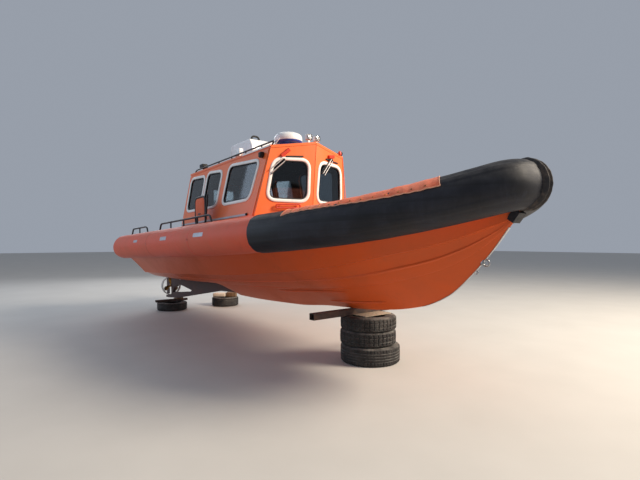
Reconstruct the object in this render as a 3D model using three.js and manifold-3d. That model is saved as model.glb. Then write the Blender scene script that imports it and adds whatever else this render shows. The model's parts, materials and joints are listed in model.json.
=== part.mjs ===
// Inshore rescue boat: a rigid hull with an inflated collar tube and a wheelhouse, parked on tyres and steel beams.
// Units are millimetres, +Z is up. Inside the boat group +X is the bow, +Y is port, x = 0 is where the keel
// crosses the front beam, and z = 0 is the keel's straight line. The whole boat group is trimmed bow up.

import * as THREE from 'three';
import { mergeVertices } from 'three/addons/utils/BufferGeometryUtils.js';
import Module from 'manifold-3d';

const wasm = await Module();
wasm.setup();

// Driving dimensions
const TRIM = THREE.MathUtils.degToRad(2.05); // bow up, as it is parked
const KEEL_HEIGHT = 610; // keel above the ground at the front beam
const BOX_SHIFT_X = 1869.1; // puts the origin under the middle of the whole thing
const GAP = 0.3; // running gap between pieces that touch

const TUBE_R = 214; // radius aft; the collar narrows a little towards the bow
const BOW_R = 200;
const TUBE_SIDES = 20;
const TUBE_HALF = 1040; // centreline of the tube from the middle of the boat
const TUBE_Z = 852;
const TUBE_RISE = 296;
const CURVE_START = -1600; // the tube runs straight aft of here
const CURVE_END = 2030;
const NOSE_START = 1870; // the round nose starts here
const BOW_JOINT = -720; // tube chambers meet here
const SHEATH_T = 8;

const DECK_Z = 620; // side decks and cockpit
const FOREDECK_Z = 900;
const FOREDECK_AFT = -1050;

const CABIN_AFT = -3166;
const CABIN_SILL_Z = 1135;
const CABIN_SILL_HALF = 750;
const ROOF_EDGE_Z = 1966;
const ROOF_EDGE_HALF = 580;
const ROOF_RIDGE_Z = 2053;
const CORNER_X = -780; // roof corner, x
const RIDGE_TOP_X = -625;
const RIDGE_LOW = [-727, 1247]; // a point low on the front ridge, x and z
const WALL_T = 40;
const ROOF_T = 36;
const GLASS_T = 6;
const SOLE_Z = 350; // cabin floor
const SOLE_HALF = 420;

const CASING_Z = 860;
const ENGINE_BAY = { x0: -4900, x1: -3950, half: 380, z: 340 };

const SKEG_T = 60;
const SHAFT_Z = 40;
const RING = { x: -5625, radius: 195, wall: 10, length: 84 };
const RUDDER_X = -5790;

const COLOURS = {
  hull: [0xd4541c, 0.28, 0.0],
  tube: [0xc9502f, 0.5, 0.0],
  sheath: [0x26262e, 0.6, 0.0],
  cabin: [0xe5622a, 0.35, 0.0],
  glass: [0x2f3a44, 0.08, 0.0],
  white: [0xe9ebee, 0.35, 0.0],
  black: [0x1b1b1d, 0.45, 0.1],
  steel: [0x4b3a36, 0.7, 0.6],
  bronze: [0x9a7434, 0.35, 0.9],
  fouling: [0x3a2522, 0.7, 0.0],
  rubber: [0x1f1f20, 0.85, 0.0],
  canvas: [0xdc5a30, 0.8, 0.0],
  wood: [0x6f5337, 0.8, 0.0],
  seat: [0x55585d, 0.7, 0.0],
  dash: [0x2c2d30, 0.6, 0.0],
  engine: [0x59646a, 0.5, 0.4],
};

const root = new THREE.Group();
const boat = new THREE.Group();
boat.rotation.y = -TRIM;
boat.position.set(BOX_SHIFT_X, 0, KEEL_HEIGHT);
const ground = new THREE.Group();
ground.position.x = BOX_SHIFT_X;
root.add(boat, ground);

function add(name, geometry, finish, parent = boat) {
  const [color, roughness, metalness] = COLOURS[finish];
  const mesh = new THREE.Mesh(geometry, new THREE.MeshStandardMaterial({ color, roughness, metalness }));
  mesh.name = name;
  parent.add(mesh);
  return mesh;
}

// Solids: a closed geometry becomes a solid for cutting and joining, and goes back to a geometry at the end.

function solidOf(geometry) {
  let g = geometry.clone();
  g.deleteAttribute('normal');
  g.deleteAttribute('uv');
  g = mergeVertices(g, 1e-3);
  const solid = new wasm.Manifold(new wasm.Mesh({
    numProp: 3,
    vertProperties: new Float32Array(g.attributes.position.array),
    triVerts: new Uint32Array(g.index.array),
  }));
  return solid;
}

function geometryOf(solid) {
  const mesh = solid.getMesh();
  const g = new THREE.BufferGeometry();
  g.setAttribute('position', new THREE.BufferAttribute(new Float32Array(mesh.vertProperties), 3));
  g.setIndex(new THREE.BufferAttribute(new Uint32Array(mesh.triVerts), 1));
  g.computeVertexNormals();
  return g;
}

function union(...geometries) {
  return geometryOf(geometries.map(solidOf).reduce((a, b) => a.add(b)));
}

function cut(geometry, ...tools) {
  return geometryOf(tools.map(solidOf).reduce((a, b) => a.subtract(b), solidOf(geometry)));
}

function common(geometry, tool) {
  return geometryOf(solidOf(geometry).intersect(solidOf(tool)));
}

// Copies of a geometry moved a gap each way, to cut a neighbour clear of it.
function roomFor(geometry) {
  const moves = [[1, 0, 0], [-1, 0, 0], [0, 1, 0], [0, -1, 0], [0, 0, 1], [0, 0, -1]];
  return moves.map((move) => geometry.clone().translate(...move.map((v) => v * GAP)));
}

// A skin over a row of closed sections. Each section is { outline: [[u, v], ...], at: (u, v) => Vector3 }.
function skin(sections) {
  const n = sections[0].outline.length;
  const positions = [];
  for (const { outline, at } of sections) {
    outline.forEach(([u, v], i) => positions.push(...at(u, v, i).toArray()));
  }
  const index = [];
  for (let k = 0; k + 1 < sections.length; k += 1) {
    for (let i = 0; i < n; i += 1) {
      const j = (i + 1) % n;
      const a = k * n + i;
      const b = k * n + j;
      index.push(a, b, b + n, a, b + n, a + n);
    }
  }
  const flat = (s) => s.outline.map(([u, v]) => new THREE.Vector2(u, v));
  const last = (sections.length - 1) * n;
  const first = THREE.ShapeUtils.isClockWise(flat(sections[0])) ? 1 : 0;
  for (const [a, b, c] of THREE.ShapeUtils.triangulateShape(flat(sections[0]), [])) {
    index.push(a, first ? b : c, first ? c : b);
  }
  for (const [a, b, c] of THREE.ShapeUtils.triangulateShape(flat(sections.at(-1)), [])) {
    index.push(last + a, last + (first ? c : b), last + (first ? b : c));
  }
  const g = new THREE.BufferGeometry();
  g.setAttribute('position', new THREE.Float32BufferAttribute(positions, 3));
  g.setIndex(index);
  return outwards(g);
}

// Turns a closed geometry's faces outwards by the sign of its volume.
function outwards(g) {
  const p = g.attributes.position;
  const idx = g.index.array;
  const [a, b, c] = [new THREE.Vector3(), new THREE.Vector3(), new THREE.Vector3()];
  let volume = 0;
  for (let i = 0; i < idx.length; i += 3) {
    a.fromBufferAttribute(p, idx[i]);
    b.fromBufferAttribute(p, idx[i + 1]);
    c.fromBufferAttribute(p, idx[i + 2]);
    volume += a.dot(b.cross(c));
  }
  if (volume < 0) {
    for (let i = 0; i < idx.length; i += 3) {
      [idx[i + 1], idx[i + 2]] = [idx[i + 2], idx[i + 1]];
    }
  }
  g.computeVertexNormals();
  return g;
}

function box(x0, x1, y0, y1, z0, z1) {
  return new THREE.BoxGeometry(x1 - x0, y1 - y0, z1 - z0)
    .translate((x0 + x1) / 2, (y0 + y1) / 2, (z0 + z1) / 2);
}

// An outline in x and z, extruded across the boat from y0 to y1.
function plateXZ(points, y0, y1) {
  const shape = new THREE.Shape(points.map(([x, z]) => new THREE.Vector2(x, z)));
  return new THREE.ExtrudeGeometry(shape, { depth: y1 - y0, bevelEnabled: false, curveSegments: 6 })
    .rotateX(Math.PI / 2)
    .translate(0, y1, 0);
}

// An outline in y and z, extruded along the boat from x0 to x1.
function plateYZ(points, x0, x1) {
  const shape = new THREE.Shape(points.map(([y, z]) => new THREE.Vector2(y, z)));
  return new THREE.ExtrudeGeometry(shape, { depth: x1 - x0, bevelEnabled: false, curveSegments: 6 })
    .applyMatrix4(new THREE.Matrix4().makeBasis(
      new THREE.Vector3(0, 1, 0), new THREE.Vector3(0, 0, 1), new THREE.Vector3(1, 0, 0)))
    .translate(x0, 0, 0);
}

// A round bar between two points, and a bent bar through several.
function rod(from, to, radius, sides = 8) {
  const a = new THREE.Vector3(...from);
  const b = new THREE.Vector3(...to);
  const dir = b.clone().sub(a);
  const g = new THREE.CylinderGeometry(radius, radius, dir.length(), sides);
  g.applyQuaternion(new THREE.Quaternion().setFromUnitVectors(new THREE.Vector3(0, 1, 0), dir.clone().normalize()));
  return g.translate(...a.add(b).multiplyScalar(0.5).toArray());
}

function bentBar(points, radius) {
  const bars = points.slice(1).map((p, i) => rod(points[i], p, radius));
  const elbows = points.slice(1, -1).map((p) => new THREE.SphereGeometry(radius * 1.02, 8, 6).translate(...p));
  return [...bars, ...elbows];
}

// The collar's centreline: starboard stern, round the nose, port stern.

function curveY(x) {
  const u = THREE.MathUtils.clamp((x - CURVE_START) / (CURVE_END - CURVE_START), 0, 1);
  return TUBE_HALF * (1 - u ** 2.2) ** 0.74;
}

function curveZ(x) {
  return TUBE_Z + TUBE_RISE * Math.max(0, (x + 3000) / 4950) ** 5.2;
}

function tubeRadius(x) {
  return TUBE_R + (BOW_R - TUBE_R) * THREE.MathUtils.smoothstep(x, -1800, 200);
}

function starboardPath(xs) {
  return xs.map((x) => new THREE.Vector3(x, -curveY(x), curveZ(x)));
}

function pathOn(sign, xs) {
  return starboardPath(xs).map((p) => new THREE.Vector3(p.x, p.y * -sign, p.z));
}

function nosePath(steps) {
  const y = curveY(NOSE_START);
  const slope = (curveY(NOSE_START + 1) - y);
  const heading = Math.atan(-slope);
  const radius = y / Math.cos(heading);
  const cx = NOSE_START - radius * Math.sin(heading);
  return Array.from({ length: steps }, (_, i) => {
    const a = heading + (Math.PI / 2 - heading) * ((i + 1) / steps);
    const x = cx + radius * Math.sin(a);
    return new THREE.Vector3(x, -radius * Math.cos(a), curveZ(x));
  });
}

const BOW_XS = [-760, -600, -400, -200, 0, 200, 400, 650, 900, 1150, 1360, 1530, 1670, 1780, NOSE_START];
const starboardBow = [...starboardPath(BOW_XS), ...nosePath(4)];
const portBow = starboardBow.slice(0, -1).reverse().map((p) => new THREE.Vector3(p.x, -p.y, p.z));
const bowPath = [...starboardBow, ...portBow];

// Frames along a path: outward side and up at each point. Angles run from outward (0) over the top (90).
function frames(path) {
  return path.map((p, i) => {
    const t = path[Math.min(i + 1, path.length - 1)].clone().sub(path[Math.max(i - 1, 0)]).normalize();
    const side = t.clone().cross(new THREE.Vector3(0, 0, 1)).normalize();
    const up = side.clone().cross(t);
    return { p, at: (u, v) => p.clone().addScaledVector(side, u).addScaledVector(up, v) };
  });
}

const bowFrames = frames(bowPath);

function circle(radius, sides = TUBE_SIDES) {
  return Array.from({ length: sides }, (_, i) => {
    const a = (2 * Math.PI * i) / sides;
    return [radius * Math.cos(a), radius * Math.sin(a)];
  });
}

// Part of a tube's wall, from one side number to another, as thick as t.
function arcWall(radius, t, first, last) {
  const at = (i, r) => {
    const a = (2 * Math.PI * i) / TUBE_SIDES;
    return [r * Math.cos(a), r * Math.sin(a)];
  };
  const steps = Array.from({ length: last - first + 1 }, (_, i) => first + i);
  return [...steps.map((i) => at(i, radius + t)), ...steps.reverse().map((i) => at(i, radius))];
}

const tubeSkin = (rows, extra = 0) => skin(rows.map(({ p, at }) => ({
  outline: circle(tubeRadius(p.x) + extra),
  at,
})));
const wallSkin = (rows, extra, ...wall) => skin(rows.map(({ p, at }) => ({
  outline: arcWall(tubeRadius(p.x) + extra, ...wall),
  at,
})));

const CAP = { x: -5225, z: TUBE_Z + 20, slope: THREE.MathUtils.degToRad(8), radius: 150, t: 14 };
const TUCK = { x: -5262, z: TUBE_Z - 120, slope: THREE.MathUtils.degToRad(-38) };
const AFT_XS = [-5790, -4400, -3000, -1600, -1250, -950, BOW_JOINT + 40];

const aftFrames = (sign) => frames(pathOn(sign, AFT_XS));

function aftTube(sign) {
  const tube = tubeSkin(aftFrames(sign));
  // the end is cut twice: a nearly upright face that carries the cap, and a tuck below it
  const upper = box(-900, 0, -400, 400, -500, 500).rotateY(CAP.slope)
    .translate(CAP.x, sign * TUBE_HALF, CAP.z);
  const lower = box(-900, 0, -400, 400, -500, 500).rotateY(TUCK.slope)
    .translate(TUCK.x, sign * TUBE_HALF, TUCK.z);
  const beyondJoint = box(BOW_JOINT - GAP, 200, -1500, 1500, 0, 1500);
  return cut(tube, upper, lower, beyondJoint);
}

for (const [side, sign] of [['starboard', -1], ['port', 1]]) {
  add(`tube_${side}`, aftTube(sign), 'tube');
  const cap = new THREE.CylinderGeometry(CAP.radius, CAP.radius, CAP.t, 20)
    .rotateZ(Math.PI / 2)
    .translate(-CAP.t / 2 - GAP, 0, 0)
    .rotateY(CAP.slope)
    .translate(CAP.x, sign * TUBE_HALF, CAP.z);
  add(`tube_cap_${side}`, cap, 'white');
}
add('tube_bow', cut(tubeSkin(bowFrames), box(-2000, BOW_JOINT, -1500, 1500, 0, 1500)), 'tube');
const sheathWall = wallSkin(bowFrames.slice(2, -2), -20, 20 + SHEATH_T, -5, 8);
add('bow_sheath', cut(sheathWall, tubeSkin(bowFrames, GAP)), 'sheath');

// Rubbing band down the middle of the nose: a ring in the boat's middle plane, thick at the front
const NOSE = bowPath[(bowPath.length - 1) / 2];
const bandAngles = Array.from({ length: 13 }, (_, i) => THREE.MathUtils.degToRad(-78 + i * 12));
const bandOuter = bandAngles.map((a) => {
  const r = BOW_R + SHEATH_T + 6 + 24 * Math.cos(a) ** 0.7;
  return [NOSE.x + r * Math.cos(a), NOSE.z + r * Math.sin(a)];
});
const bandInner = bandAngles.map((a) => [
  NOSE.x + (BOW_R - 60) * Math.cos(a), NOSE.z + (BOW_R - 60) * Math.sin(a),
]).reverse();
add('nose_strip', cut(
  plateXZ([...bandOuter, ...bandInner], -52, 52),
  tubeSkin(bowFrames, SHEATH_T + GAP),
), 'sheath');

// Hull sections. Columns: x, keel z, strake y, strake z, chine y, chine z, side y, side z, inner y, coaming z, deck z
const HULL_SECTIONS = [
  [-5450, 250, 330, 262, 560, 350, 930, 700, 800, 850, 620],
  [-4600, 215, 345, 236, 590, 352, 930, 700, 800, 850, 620],
  [-3600, 180, 350, 218, 610, 356, 930, 700, 800, 850, 620],
  [-2900, 165, 350, 212, 620, 362, 930, 700, 800, 850, 620],
  [-2650, 5, 350, 209, 622, 364, 930, 700, 800, 850, 620],
  [-1600, -28, 350, 210, 625, 378, 930, 700, 800, 850, 620],
  [FOREDECK_AFT - 10, -30, 345, 222, 622, 402, 920, 715, 790, 880, 620],
  [FOREDECK_AFT + 10, -30, 345, 222, 622, 403, 920, 716, 790, 905, 900],
  [-400, 2, 330, 240, 610, 440, 890, 760, 760, 915, 900],
  [100, 4, 310, 262, 580, 478, 830, 800, 700, 930, 900],
  [550, 32, 280, 300, 520, 542, 750, 850, 600, 960, 900],
  [950, 96, 235, 372, 430, 612, 640, 890, 480, 1000, 910],
  [1250, 215, 170, 450, 326, 668, 500, 930, 330, 1040, 930],
  [1500, 415, 100, 560, 212, 735, 340, 960, 190, 1080, 960],
  [1700, 620, 50, 690, 116, 805, 200, 990, 100, 1110, 1000],
  [1860, 815, 20, 830, 36, 870, 80, 1000, 40, 1130, 1040],
  [1948, 925, 10, 931, 16, 938, 60, 1000, 20, 1060, 1040],
];

function hullOutline([, keel, sy, sz, cy, cz, ty, tz, iy, iz, deck]) {
  const half = [
    [0, keel], [sy, sz], [sy + 22, sz + 2], [cy, cz], [cy + 26, cz + 4], [ty, tz], [ty - 20, iz], [iy, iz], [iy - 4, deck],
  ];
  const other = half.slice(1).reverse().map(([y, z]) => [-y, z]);
  return [...half, ...other];
}

const hullSkin = skin(HULL_SECTIONS.map((row) => ({
  outline: hullOutline(row),
  at: (y, z) => new THREE.Vector3(row[0], y, z),
})));
const sheathSpace = tubeSkin(bowFrames.slice(2, -2), SHEATH_T + GAP);
const collarSpaces = [aftFrames(-1), aftFrames(1), bowFrames].map((rows) => tubeSkin(rows, GAP));
const cabinWell = box(-3050, FOREDECK_AFT - 30, -SOLE_HALF, SOLE_HALF, SOLE_Z, 1200);
const engineWell = box(ENGINE_BAY.x0, ENGINE_BAY.x1, -ENGINE_BAY.half, ENGINE_BAY.half, ENGINE_BAY.z, 1200);
// The lid's hinge: a pin across the casing's forward edge, held by two brackets beside each knuckle of the lid
const PIN = { radius: 6, bore: 6.9, knuckle: 12 };
const LID = { z0: CASING_Z + 6, z1: CASING_Z + 46, hingeX: ENGINE_BAY.x1 + 82, hingeZ: CASING_Z + 24 };
const LID_KNUCKLES = [-300, 220]; // each is 80 wide
const lidBrackets = LID_KNUCKLES.flatMap((y) => [
  rod([LID.hingeX, y - 22, LID.hingeZ], [LID.hingeX, y + 102, LID.hingeZ], PIN.radius, 16),
  ...[y - 24, y + 84].flatMap((y0) => [
    box(ENGINE_BAY.x1 + 50, LID.hingeX + 8, y0, y0 + 20, CASING_Z - 40, CASING_Z + 2),
    box(LID.hingeX - 10, LID.hingeX + 8, y0, y0 + 20, CASING_Z - 40, LID.hingeZ + 6),
  ]),
]);
const casing = box(ENGINE_BAY.x0 - 60, ENGINE_BAY.x1 + 60, -440, 440, DECK_Z - 40, CASING_Z);
const hullSolid = cut(union(hullSkin, casing, ...lidBrackets), ...collarSpaces, sheathSpace, cabinWell, engineWell);
add('hull', hullSolid, 'hull');

const stemPad = plateXZ([[1914, 845], [1974, 920], [1922, 961], [1862, 886]], -60, 60);
add('stem_pad', cut(stemPad, ...roomFor(hullSolid), sheathSpace), 'sheath');

// Foredeck cover: canvas drawn over both sides of the collar, from the cabin's front to the nose
const COVER_ANGLES = [48, 66, 84, 102];
const COVER_T = 8;

// Each strip runs from the outside of one tube, over the middle, to the outside of the other.
function coverSection(frame, centreX) {
  const { p, at } = frame;
  const arc = (lift) => COVER_ANGLES.map((deg) => {
    const a = THREE.MathUtils.degToRad(deg);
    const r = tubeRadius(p.x) + SHEATH_T + 4 + lift;
    return at(r * Math.cos(a), r * Math.sin(a));
  });
  const crown = (lift) => {
    const top = p.z + tubeRadius(p.x) + SHEATH_T + 20 + lift;
    return [
      new THREE.Vector3(THREE.MathUtils.lerp(p.x, centreX, 0.6), p.y * 0.5, top),
      new THREE.Vector3(centreX, 0, top + 14),
    ];
  };
  const mirror = (v) => new THREE.Vector3(v.x, -v.y, v.z);
  const line = (lift) => {
    const half = [...arc(lift), ...crown(lift)];
    return [...half, ...half.slice(0, -1).reverse().map(mirror)];
  };
  const points = [...line(COVER_T), ...line(0).reverse()];
  return { outline: points.map((v) => [v.y, v.z]), at: (u, v, i) => points[i] };
}

// Columns: where the strip leaves the tube, and where it crosses the middle
const COVER_STRIPS = [
  [60, -690], [160, -400], [300, -50], [500, 300], [700, 620], [900, 860], [1100, 1090], [1280, 1285], [1440, 1450],
];
const coverFrames = frames(starboardPath(COVER_STRIPS.map(([x]) => x)));
add('foredeck_cover', skin(COVER_STRIPS.map(([, centreX], i) => coverSection(coverFrames[i], centreX))), 'canvas');

// Cabin. The side walls lean in above the sill. The front is two faces that meet at a ridge.

const corner = new THREE.Vector3(CORNER_X, -ROOF_EDGE_HALF, ROOF_EDGE_Z);
const ridgeTop = new THREE.Vector3(RIDGE_TOP_X, 0, ROOF_RIDGE_Z);
const ridgeLow = new THREE.Vector3(RIDGE_LOW[0], 0, RIDGE_LOW[1]);
const frontNormal = ridgeTop.clone().sub(ridgeLow).cross(corner.clone().sub(ridgeLow)).normalize();
if (frontNormal.x < 0) {
  frontNormal.negate();
}
const ridgeDir = ridgeTop.clone().sub(ridgeLow).normalize();
const acrossDir = ridgeDir.clone().cross(frontNormal).normalize(); // towards starboard or port, in the face
if (acrossDir.y > 0) {
  acrossDir.negate();
}
// A frame in the starboard front face: u runs outboard from the ridge, v runs up the ridge.
const frontBasis = new THREE.Matrix4().makeBasis(acrossDir, ridgeDir, acrossDir.clone().cross(ridgeDir));
const frontToWorld = new THREE.Matrix4().makeTranslation(...ridgeLow.toArray()).multiply(frontBasis);
const inward = Math.sign(-frontNormal.dot(acrossDir.clone().cross(ridgeDir)));

function frontPlate(points, from, to, sign) {
  const shape = new THREE.Shape(points.map(([u, v]) => new THREE.Vector2(u, v)));
  const g = new THREE.ExtrudeGeometry(shape, { depth: to - from, bevelEnabled: false, curveSegments: 5 });
  g.translate(0, 0, inward > 0 ? from : -to);
  g.applyMatrix4(frontToWorld);
  return sign > 0 ? flipY(g) : g;
}

// Mirrors a closed geometry in the middle plane of the boat.
function flipY(geometry) {
  let g = geometry.clone().scale(1, -1, 1);
  g.deleteAttribute('normal');
  g.deleteAttribute('uv');
  g = mergeVertices(g, 1e-3);
  return outwards(g);
}

function roundedOutline(corners, radius) {
  const shape = new THREE.Shape();
  corners.forEach((p, i) => {
    const c = new THREE.Vector2(...p);
    const before = new THREE.Vector2(...corners.at(i - 1)).sub(c).normalize();
    const after = new THREE.Vector2(...corners[(i + 1) % corners.length]).sub(c).normalize();
    const start = c.clone().addScaledVector(before, radius);
    const end = c.clone().addScaledVector(after, radius);
    if (i === 0) {
      shape.moveTo(start.x, start.y);
    } else {
      shape.lineTo(start.x, start.y);
    }
    shape.quadraticCurveTo(c.x, c.y, end.x, end.y);
  });
  shape.closePath();
  return shape.getPoints(4).slice(0, -1).map((p) => [p.x, p.y]);
}

const grown = (corners, d) => {
  const cx = corners.reduce((s, p) => s + p[0], 0) / corners.length;
  const cz = corners.reduce((s, p) => s + p[1], 0) / corners.length;
  return corners.map(([x, z]) => [x + Math.sign(x - cx) * d, z + Math.sign(z - cz) * d]);
};

// Window openings, [x, z] corners seen from the side, with a corner radius.
const SIDE_WINDOWS = [
  { corners: [[-1830, 1350], [-1120, 1345], [-1010, 1805], [-1790, 1868]], radius: 90 },
  { corners: [[-2475, 1355], [-2035, 1345], [-2010, 1830], [-2475, 1875]], radius: 90 },
  { corners: [[-3040, 1362], [-2570, 1355], [-2575, 1840], [-3070, 1872]], radius: 90 },
];
// The windscreen's corners in the face's own frame: u outboard from the ridge, v up it.
const WINDSCREEN = { corners: [[85, 66], [614, 56], [547, 535], [100, 560]], radius: 110 };

const lean = (CABIN_SILL_HALF - ROOF_EDGE_HALF) / (ROOF_EDGE_Z - CABIN_SILL_Z);
const wallTopZ = ROOF_EDGE_Z - ROOF_T - GAP;
const wallHalfAt = (z) => CABIN_SILL_HALF - lean * (z - CABIN_SILL_Z);
const leanAngle = Math.atan(lean);

// A prism through the starboard wall, square to the leaning panel.
function throughSide(outline, depth0, depth1) {
  const g = plateXZ(outline.map(([x, z]) => [x, (z - CABIN_SILL_Z) / Math.cos(leanAngle)]), depth0, depth1);
  return g.rotateX(-leanAngle).translate(0, -CABIN_SILL_HALF, CABIN_SILL_Z);
}

// Everything in front of the front panels' inner faces, less a gap.
function ahead(offset) {
  const far = [[-60, -1400], [1600, -1400], [1600, 1400], [-60, 1400]];
  const one = frontPlate(far, offset - 2400, offset, -1);
  const two = frontPlate(far, offset - 2400, offset, 1);
  return geometryOf(solidOf(one).intersect(solidOf(two))
    .add(solidOf(one).intersect(solidOf(box(-3000, 3000, -3000, 0, -3000, 6000))))
    .add(solidOf(two).intersect(solidOf(box(-3000, 3000, 0, 3000, -3000, 6000)))));
}

const wallOutline = [
  [-CABIN_SILL_HALF, DECK_Z + GAP],
  [-CABIN_SILL_HALF, CABIN_SILL_Z],
  [-wallHalfAt(wallTopZ), wallTopZ],
  [-wallHalfAt(wallTopZ) + WALL_T, wallTopZ],
  [-CABIN_SILL_HALF + WALL_T, CABIN_SILL_Z - 6],
  [-CABIN_SILL_HALF + WALL_T, DECK_Z + GAP],
];

const frontSpace = ahead(WALL_T + GAP);
const coamingEnd = box(FOREDECK_AFT - 12, 200, -900, 900, 0, FOREDECK_Z + GAP);
const starboardWall = cut(
  plateYZ(wallOutline, CABIN_AFT, -500),
  frontSpace,
  coamingEnd,
  ...SIDE_WINDOWS.map(({ corners, radius }) => throughSide(roundedOutline(corners, radius), -80, 120)),
);

for (const [side, sign] of [['starboard', -1], ['port', 1]]) {
  const place = (g) => (sign < 0 ? g : flipY(g));
  add(`cabin_side_${side}`, place(starboardWall), 'cabin');
  SIDE_WINDOWS.forEach(({ corners, radius }, i) => {
    const pane = throughSide(roundedOutline(grown(corners, -1), radius), 8, 8 + GLASS_T);
    add(`window_${side}_${i + 1}`, place(pane), 'glass');
  });
}

// Front panels: from the foredeck up to the roof, out to the corner with the side wall.
const inFace = (p) => {
  const q = p.clone().applyMatrix4(frontToWorld.clone().invert());
  return [q.x, q.y];
};
const cornerTop = inFace(new THREE.Vector3(CORNER_X, -wallHalfAt(ROOF_EDGE_Z), ROOF_EDGE_Z));
const FRONT_BASE_Z = FOREDECK_Z + GAP;

function sideFrontX(y, z) {
  // x of the front face's outer surface at a given y and z on the starboard side
  return ridgeLow.x - (frontNormal.y * y + frontNormal.z * (z - ridgeLow.z)) / frontNormal.x;
}

const frontOutline = [
  inFace(new THREE.Vector3(sideFrontX(0, 800), 0, 800)),
  inFace(new THREE.Vector3(sideFrontX(-CABIN_SILL_HALF, 800), -CABIN_SILL_HALF, 800)),
  inFace(new THREE.Vector3(sideFrontX(-CABIN_SILL_HALF, CABIN_SILL_Z), -CABIN_SILL_HALF, CABIN_SILL_Z)),
  [cornerTop[0], cornerTop[1] + 4],
  inFace(new THREE.Vector3(RIDGE_TOP_X + 20, 0, ROOF_RIDGE_Z + 160)),
];
const roofUnder = plateYZ([
  [-1200, 3000], [1200, 3000],
  [1200, ROOF_EDGE_Z - ROOF_T - GAP + (ROOF_EDGE_HALF - 1200) * 0.15],
  [0, ROOF_RIDGE_Z - ROOF_T - GAP],
  [-1200, ROOF_EDGE_Z - ROOF_T - GAP + (ROOF_EDGE_HALF - 1200) * 0.15],
], -4000, 500);
const belowFront = box(-2000, 500, -1500, 1500, 0, FRONT_BASE_Z);
const starboardHalf = box(-2000, 500, -1500, -GAP / 2, 0, 3000);
const screenHole = frontPlate(roundedOutline(WINDSCREEN.corners, WINDSCREEN.radius), -60, 120, -1);
const collarClear = tubeSkin(bowFrames, SHEATH_T + 2);
const starboardFront = common(
  cut(frontPlate(frontOutline, 0, WALL_T, -1), roofUnder, belowFront, screenHole, collarClear),
  starboardHalf,
);
for (const [side, sign] of [['starboard', -1], ['port', 1]]) {
  add(`cabin_front_${side}`, sign < 0 ? starboardFront : flipY(starboardFront), 'cabin');
  const pane = frontPlate(roundedOutline(grown(WINDSCREEN.corners, -1), WINDSCREEN.radius), 8, 8 + GLASS_T, sign);
  add(`windscreen_${side}`, pane, 'glass');
}

// Roof: two planes that meet at the middle, one plate thick.
const roofSection = [
  [-ROOF_EDGE_HALF, ROOF_EDGE_Z], [-ROOF_EDGE_HALF, ROOF_EDGE_Z - ROOF_T],
  [0, ROOF_RIDGE_Z - ROOF_T], [ROOF_EDGE_HALF, ROOF_EDGE_Z - ROOF_T],
  [ROOF_EDGE_HALF, ROOF_EDGE_Z], [0, ROOF_RIDGE_Z],
];
add('cabin_roof', cut(plateYZ(roofSection, CABIN_AFT, -500), ahead(0)), 'cabin');

// Back wall with its doorway, and the door that hangs on its starboard edge.
const BACK_X = CABIN_AFT + 6;
const DOOR = { y0: -290, y1: 290, z0: 660, z1: 1850 };
const innerHalf = (z) => wallHalfAt(Math.max(z, CABIN_SILL_Z)) - WALL_T - GAP;
const backOutline = [
  [-innerHalf(0), DECK_Z + GAP], [innerHalf(0), DECK_Z + GAP], [innerHalf(0), CABIN_SILL_Z - 6],
  [innerHalf(wallTopZ), wallTopZ - 2],
  [0, ROOF_RIDGE_Z - ROOF_T - 4],
  [-innerHalf(wallTopZ), wallTopZ - 2], [-innerHalf(0), CABIN_SILL_Z - 6],
];
const doorway = box(BACK_X - 50, BACK_X + 100, DOOR.y0, DOOR.y1, DOOR.z0, DOOR.z1);

const HINGE = { x: BACK_X - 14, y: DOOR.y0 - 30 };
const DOOR_KNUCKLES = [820, 1250, 1680]; // each is 60 high
const alongHinge = (z0, z1, radius) => rod([HINGE.x, HINGE.y, z0], [HINGE.x, HINGE.y, z1], radius, 16);
const doorPins = DOOR_KNUCKLES.flatMap((z) => [
  alongHinge(z - 22, z + 82, PIN.radius),
  ...[z - 24, z + 64].map((z0) => box(HINGE.x - 6, BACK_X + 2, HINGE.y - 6, HINGE.y + 6, z0, z0 + 20)),
]);
add('cabin_back', cut(union(plateYZ(backOutline, BACK_X, BACK_X + WALL_T), ...doorPins), doorway), 'cabin');

const doorPanel = box(BACK_X - 7, BACK_X + 30, DOOR.y0 + 6, DOOR.y1 - 6, DOOR.z0 + 6, DOOR.z1 - 6);
const doorFlange = box(BACK_X - 26, BACK_X - 6, DOOR.y0 - 10, DOOR.y1 + 25, DOOR.z0 + 6, DOOR.z1 + 20);
const doorWindow = box(BACK_X - 100, BACK_X + 100, DOOR.y0 + 90, DOOR.y1 - 90, 1320, 1760);
const doorTabs = DOOR_KNUCKLES.map((z) => box(HINGE.x - 8, HINGE.x + 4, HINGE.y, DOOR.y0, z, z + 60));
add('cabin_door', cut(
  union(doorPanel, doorFlange, ...doorTabs, ...DOOR_KNUCKLES.map((z) => alongHinge(z, z + 60, PIN.knuckle))),
  doorWindow,
  ...DOOR_KNUCKLES.map((z) => alongHinge(z - 10, z + 70, PIN.bore)),
), 'cabin');
add('door_window', box(BACK_X, BACK_X + GLASS_T, DOOR.y0 + 91, DOOR.y1 - 91, 1321, 1759), 'glass');

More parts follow.
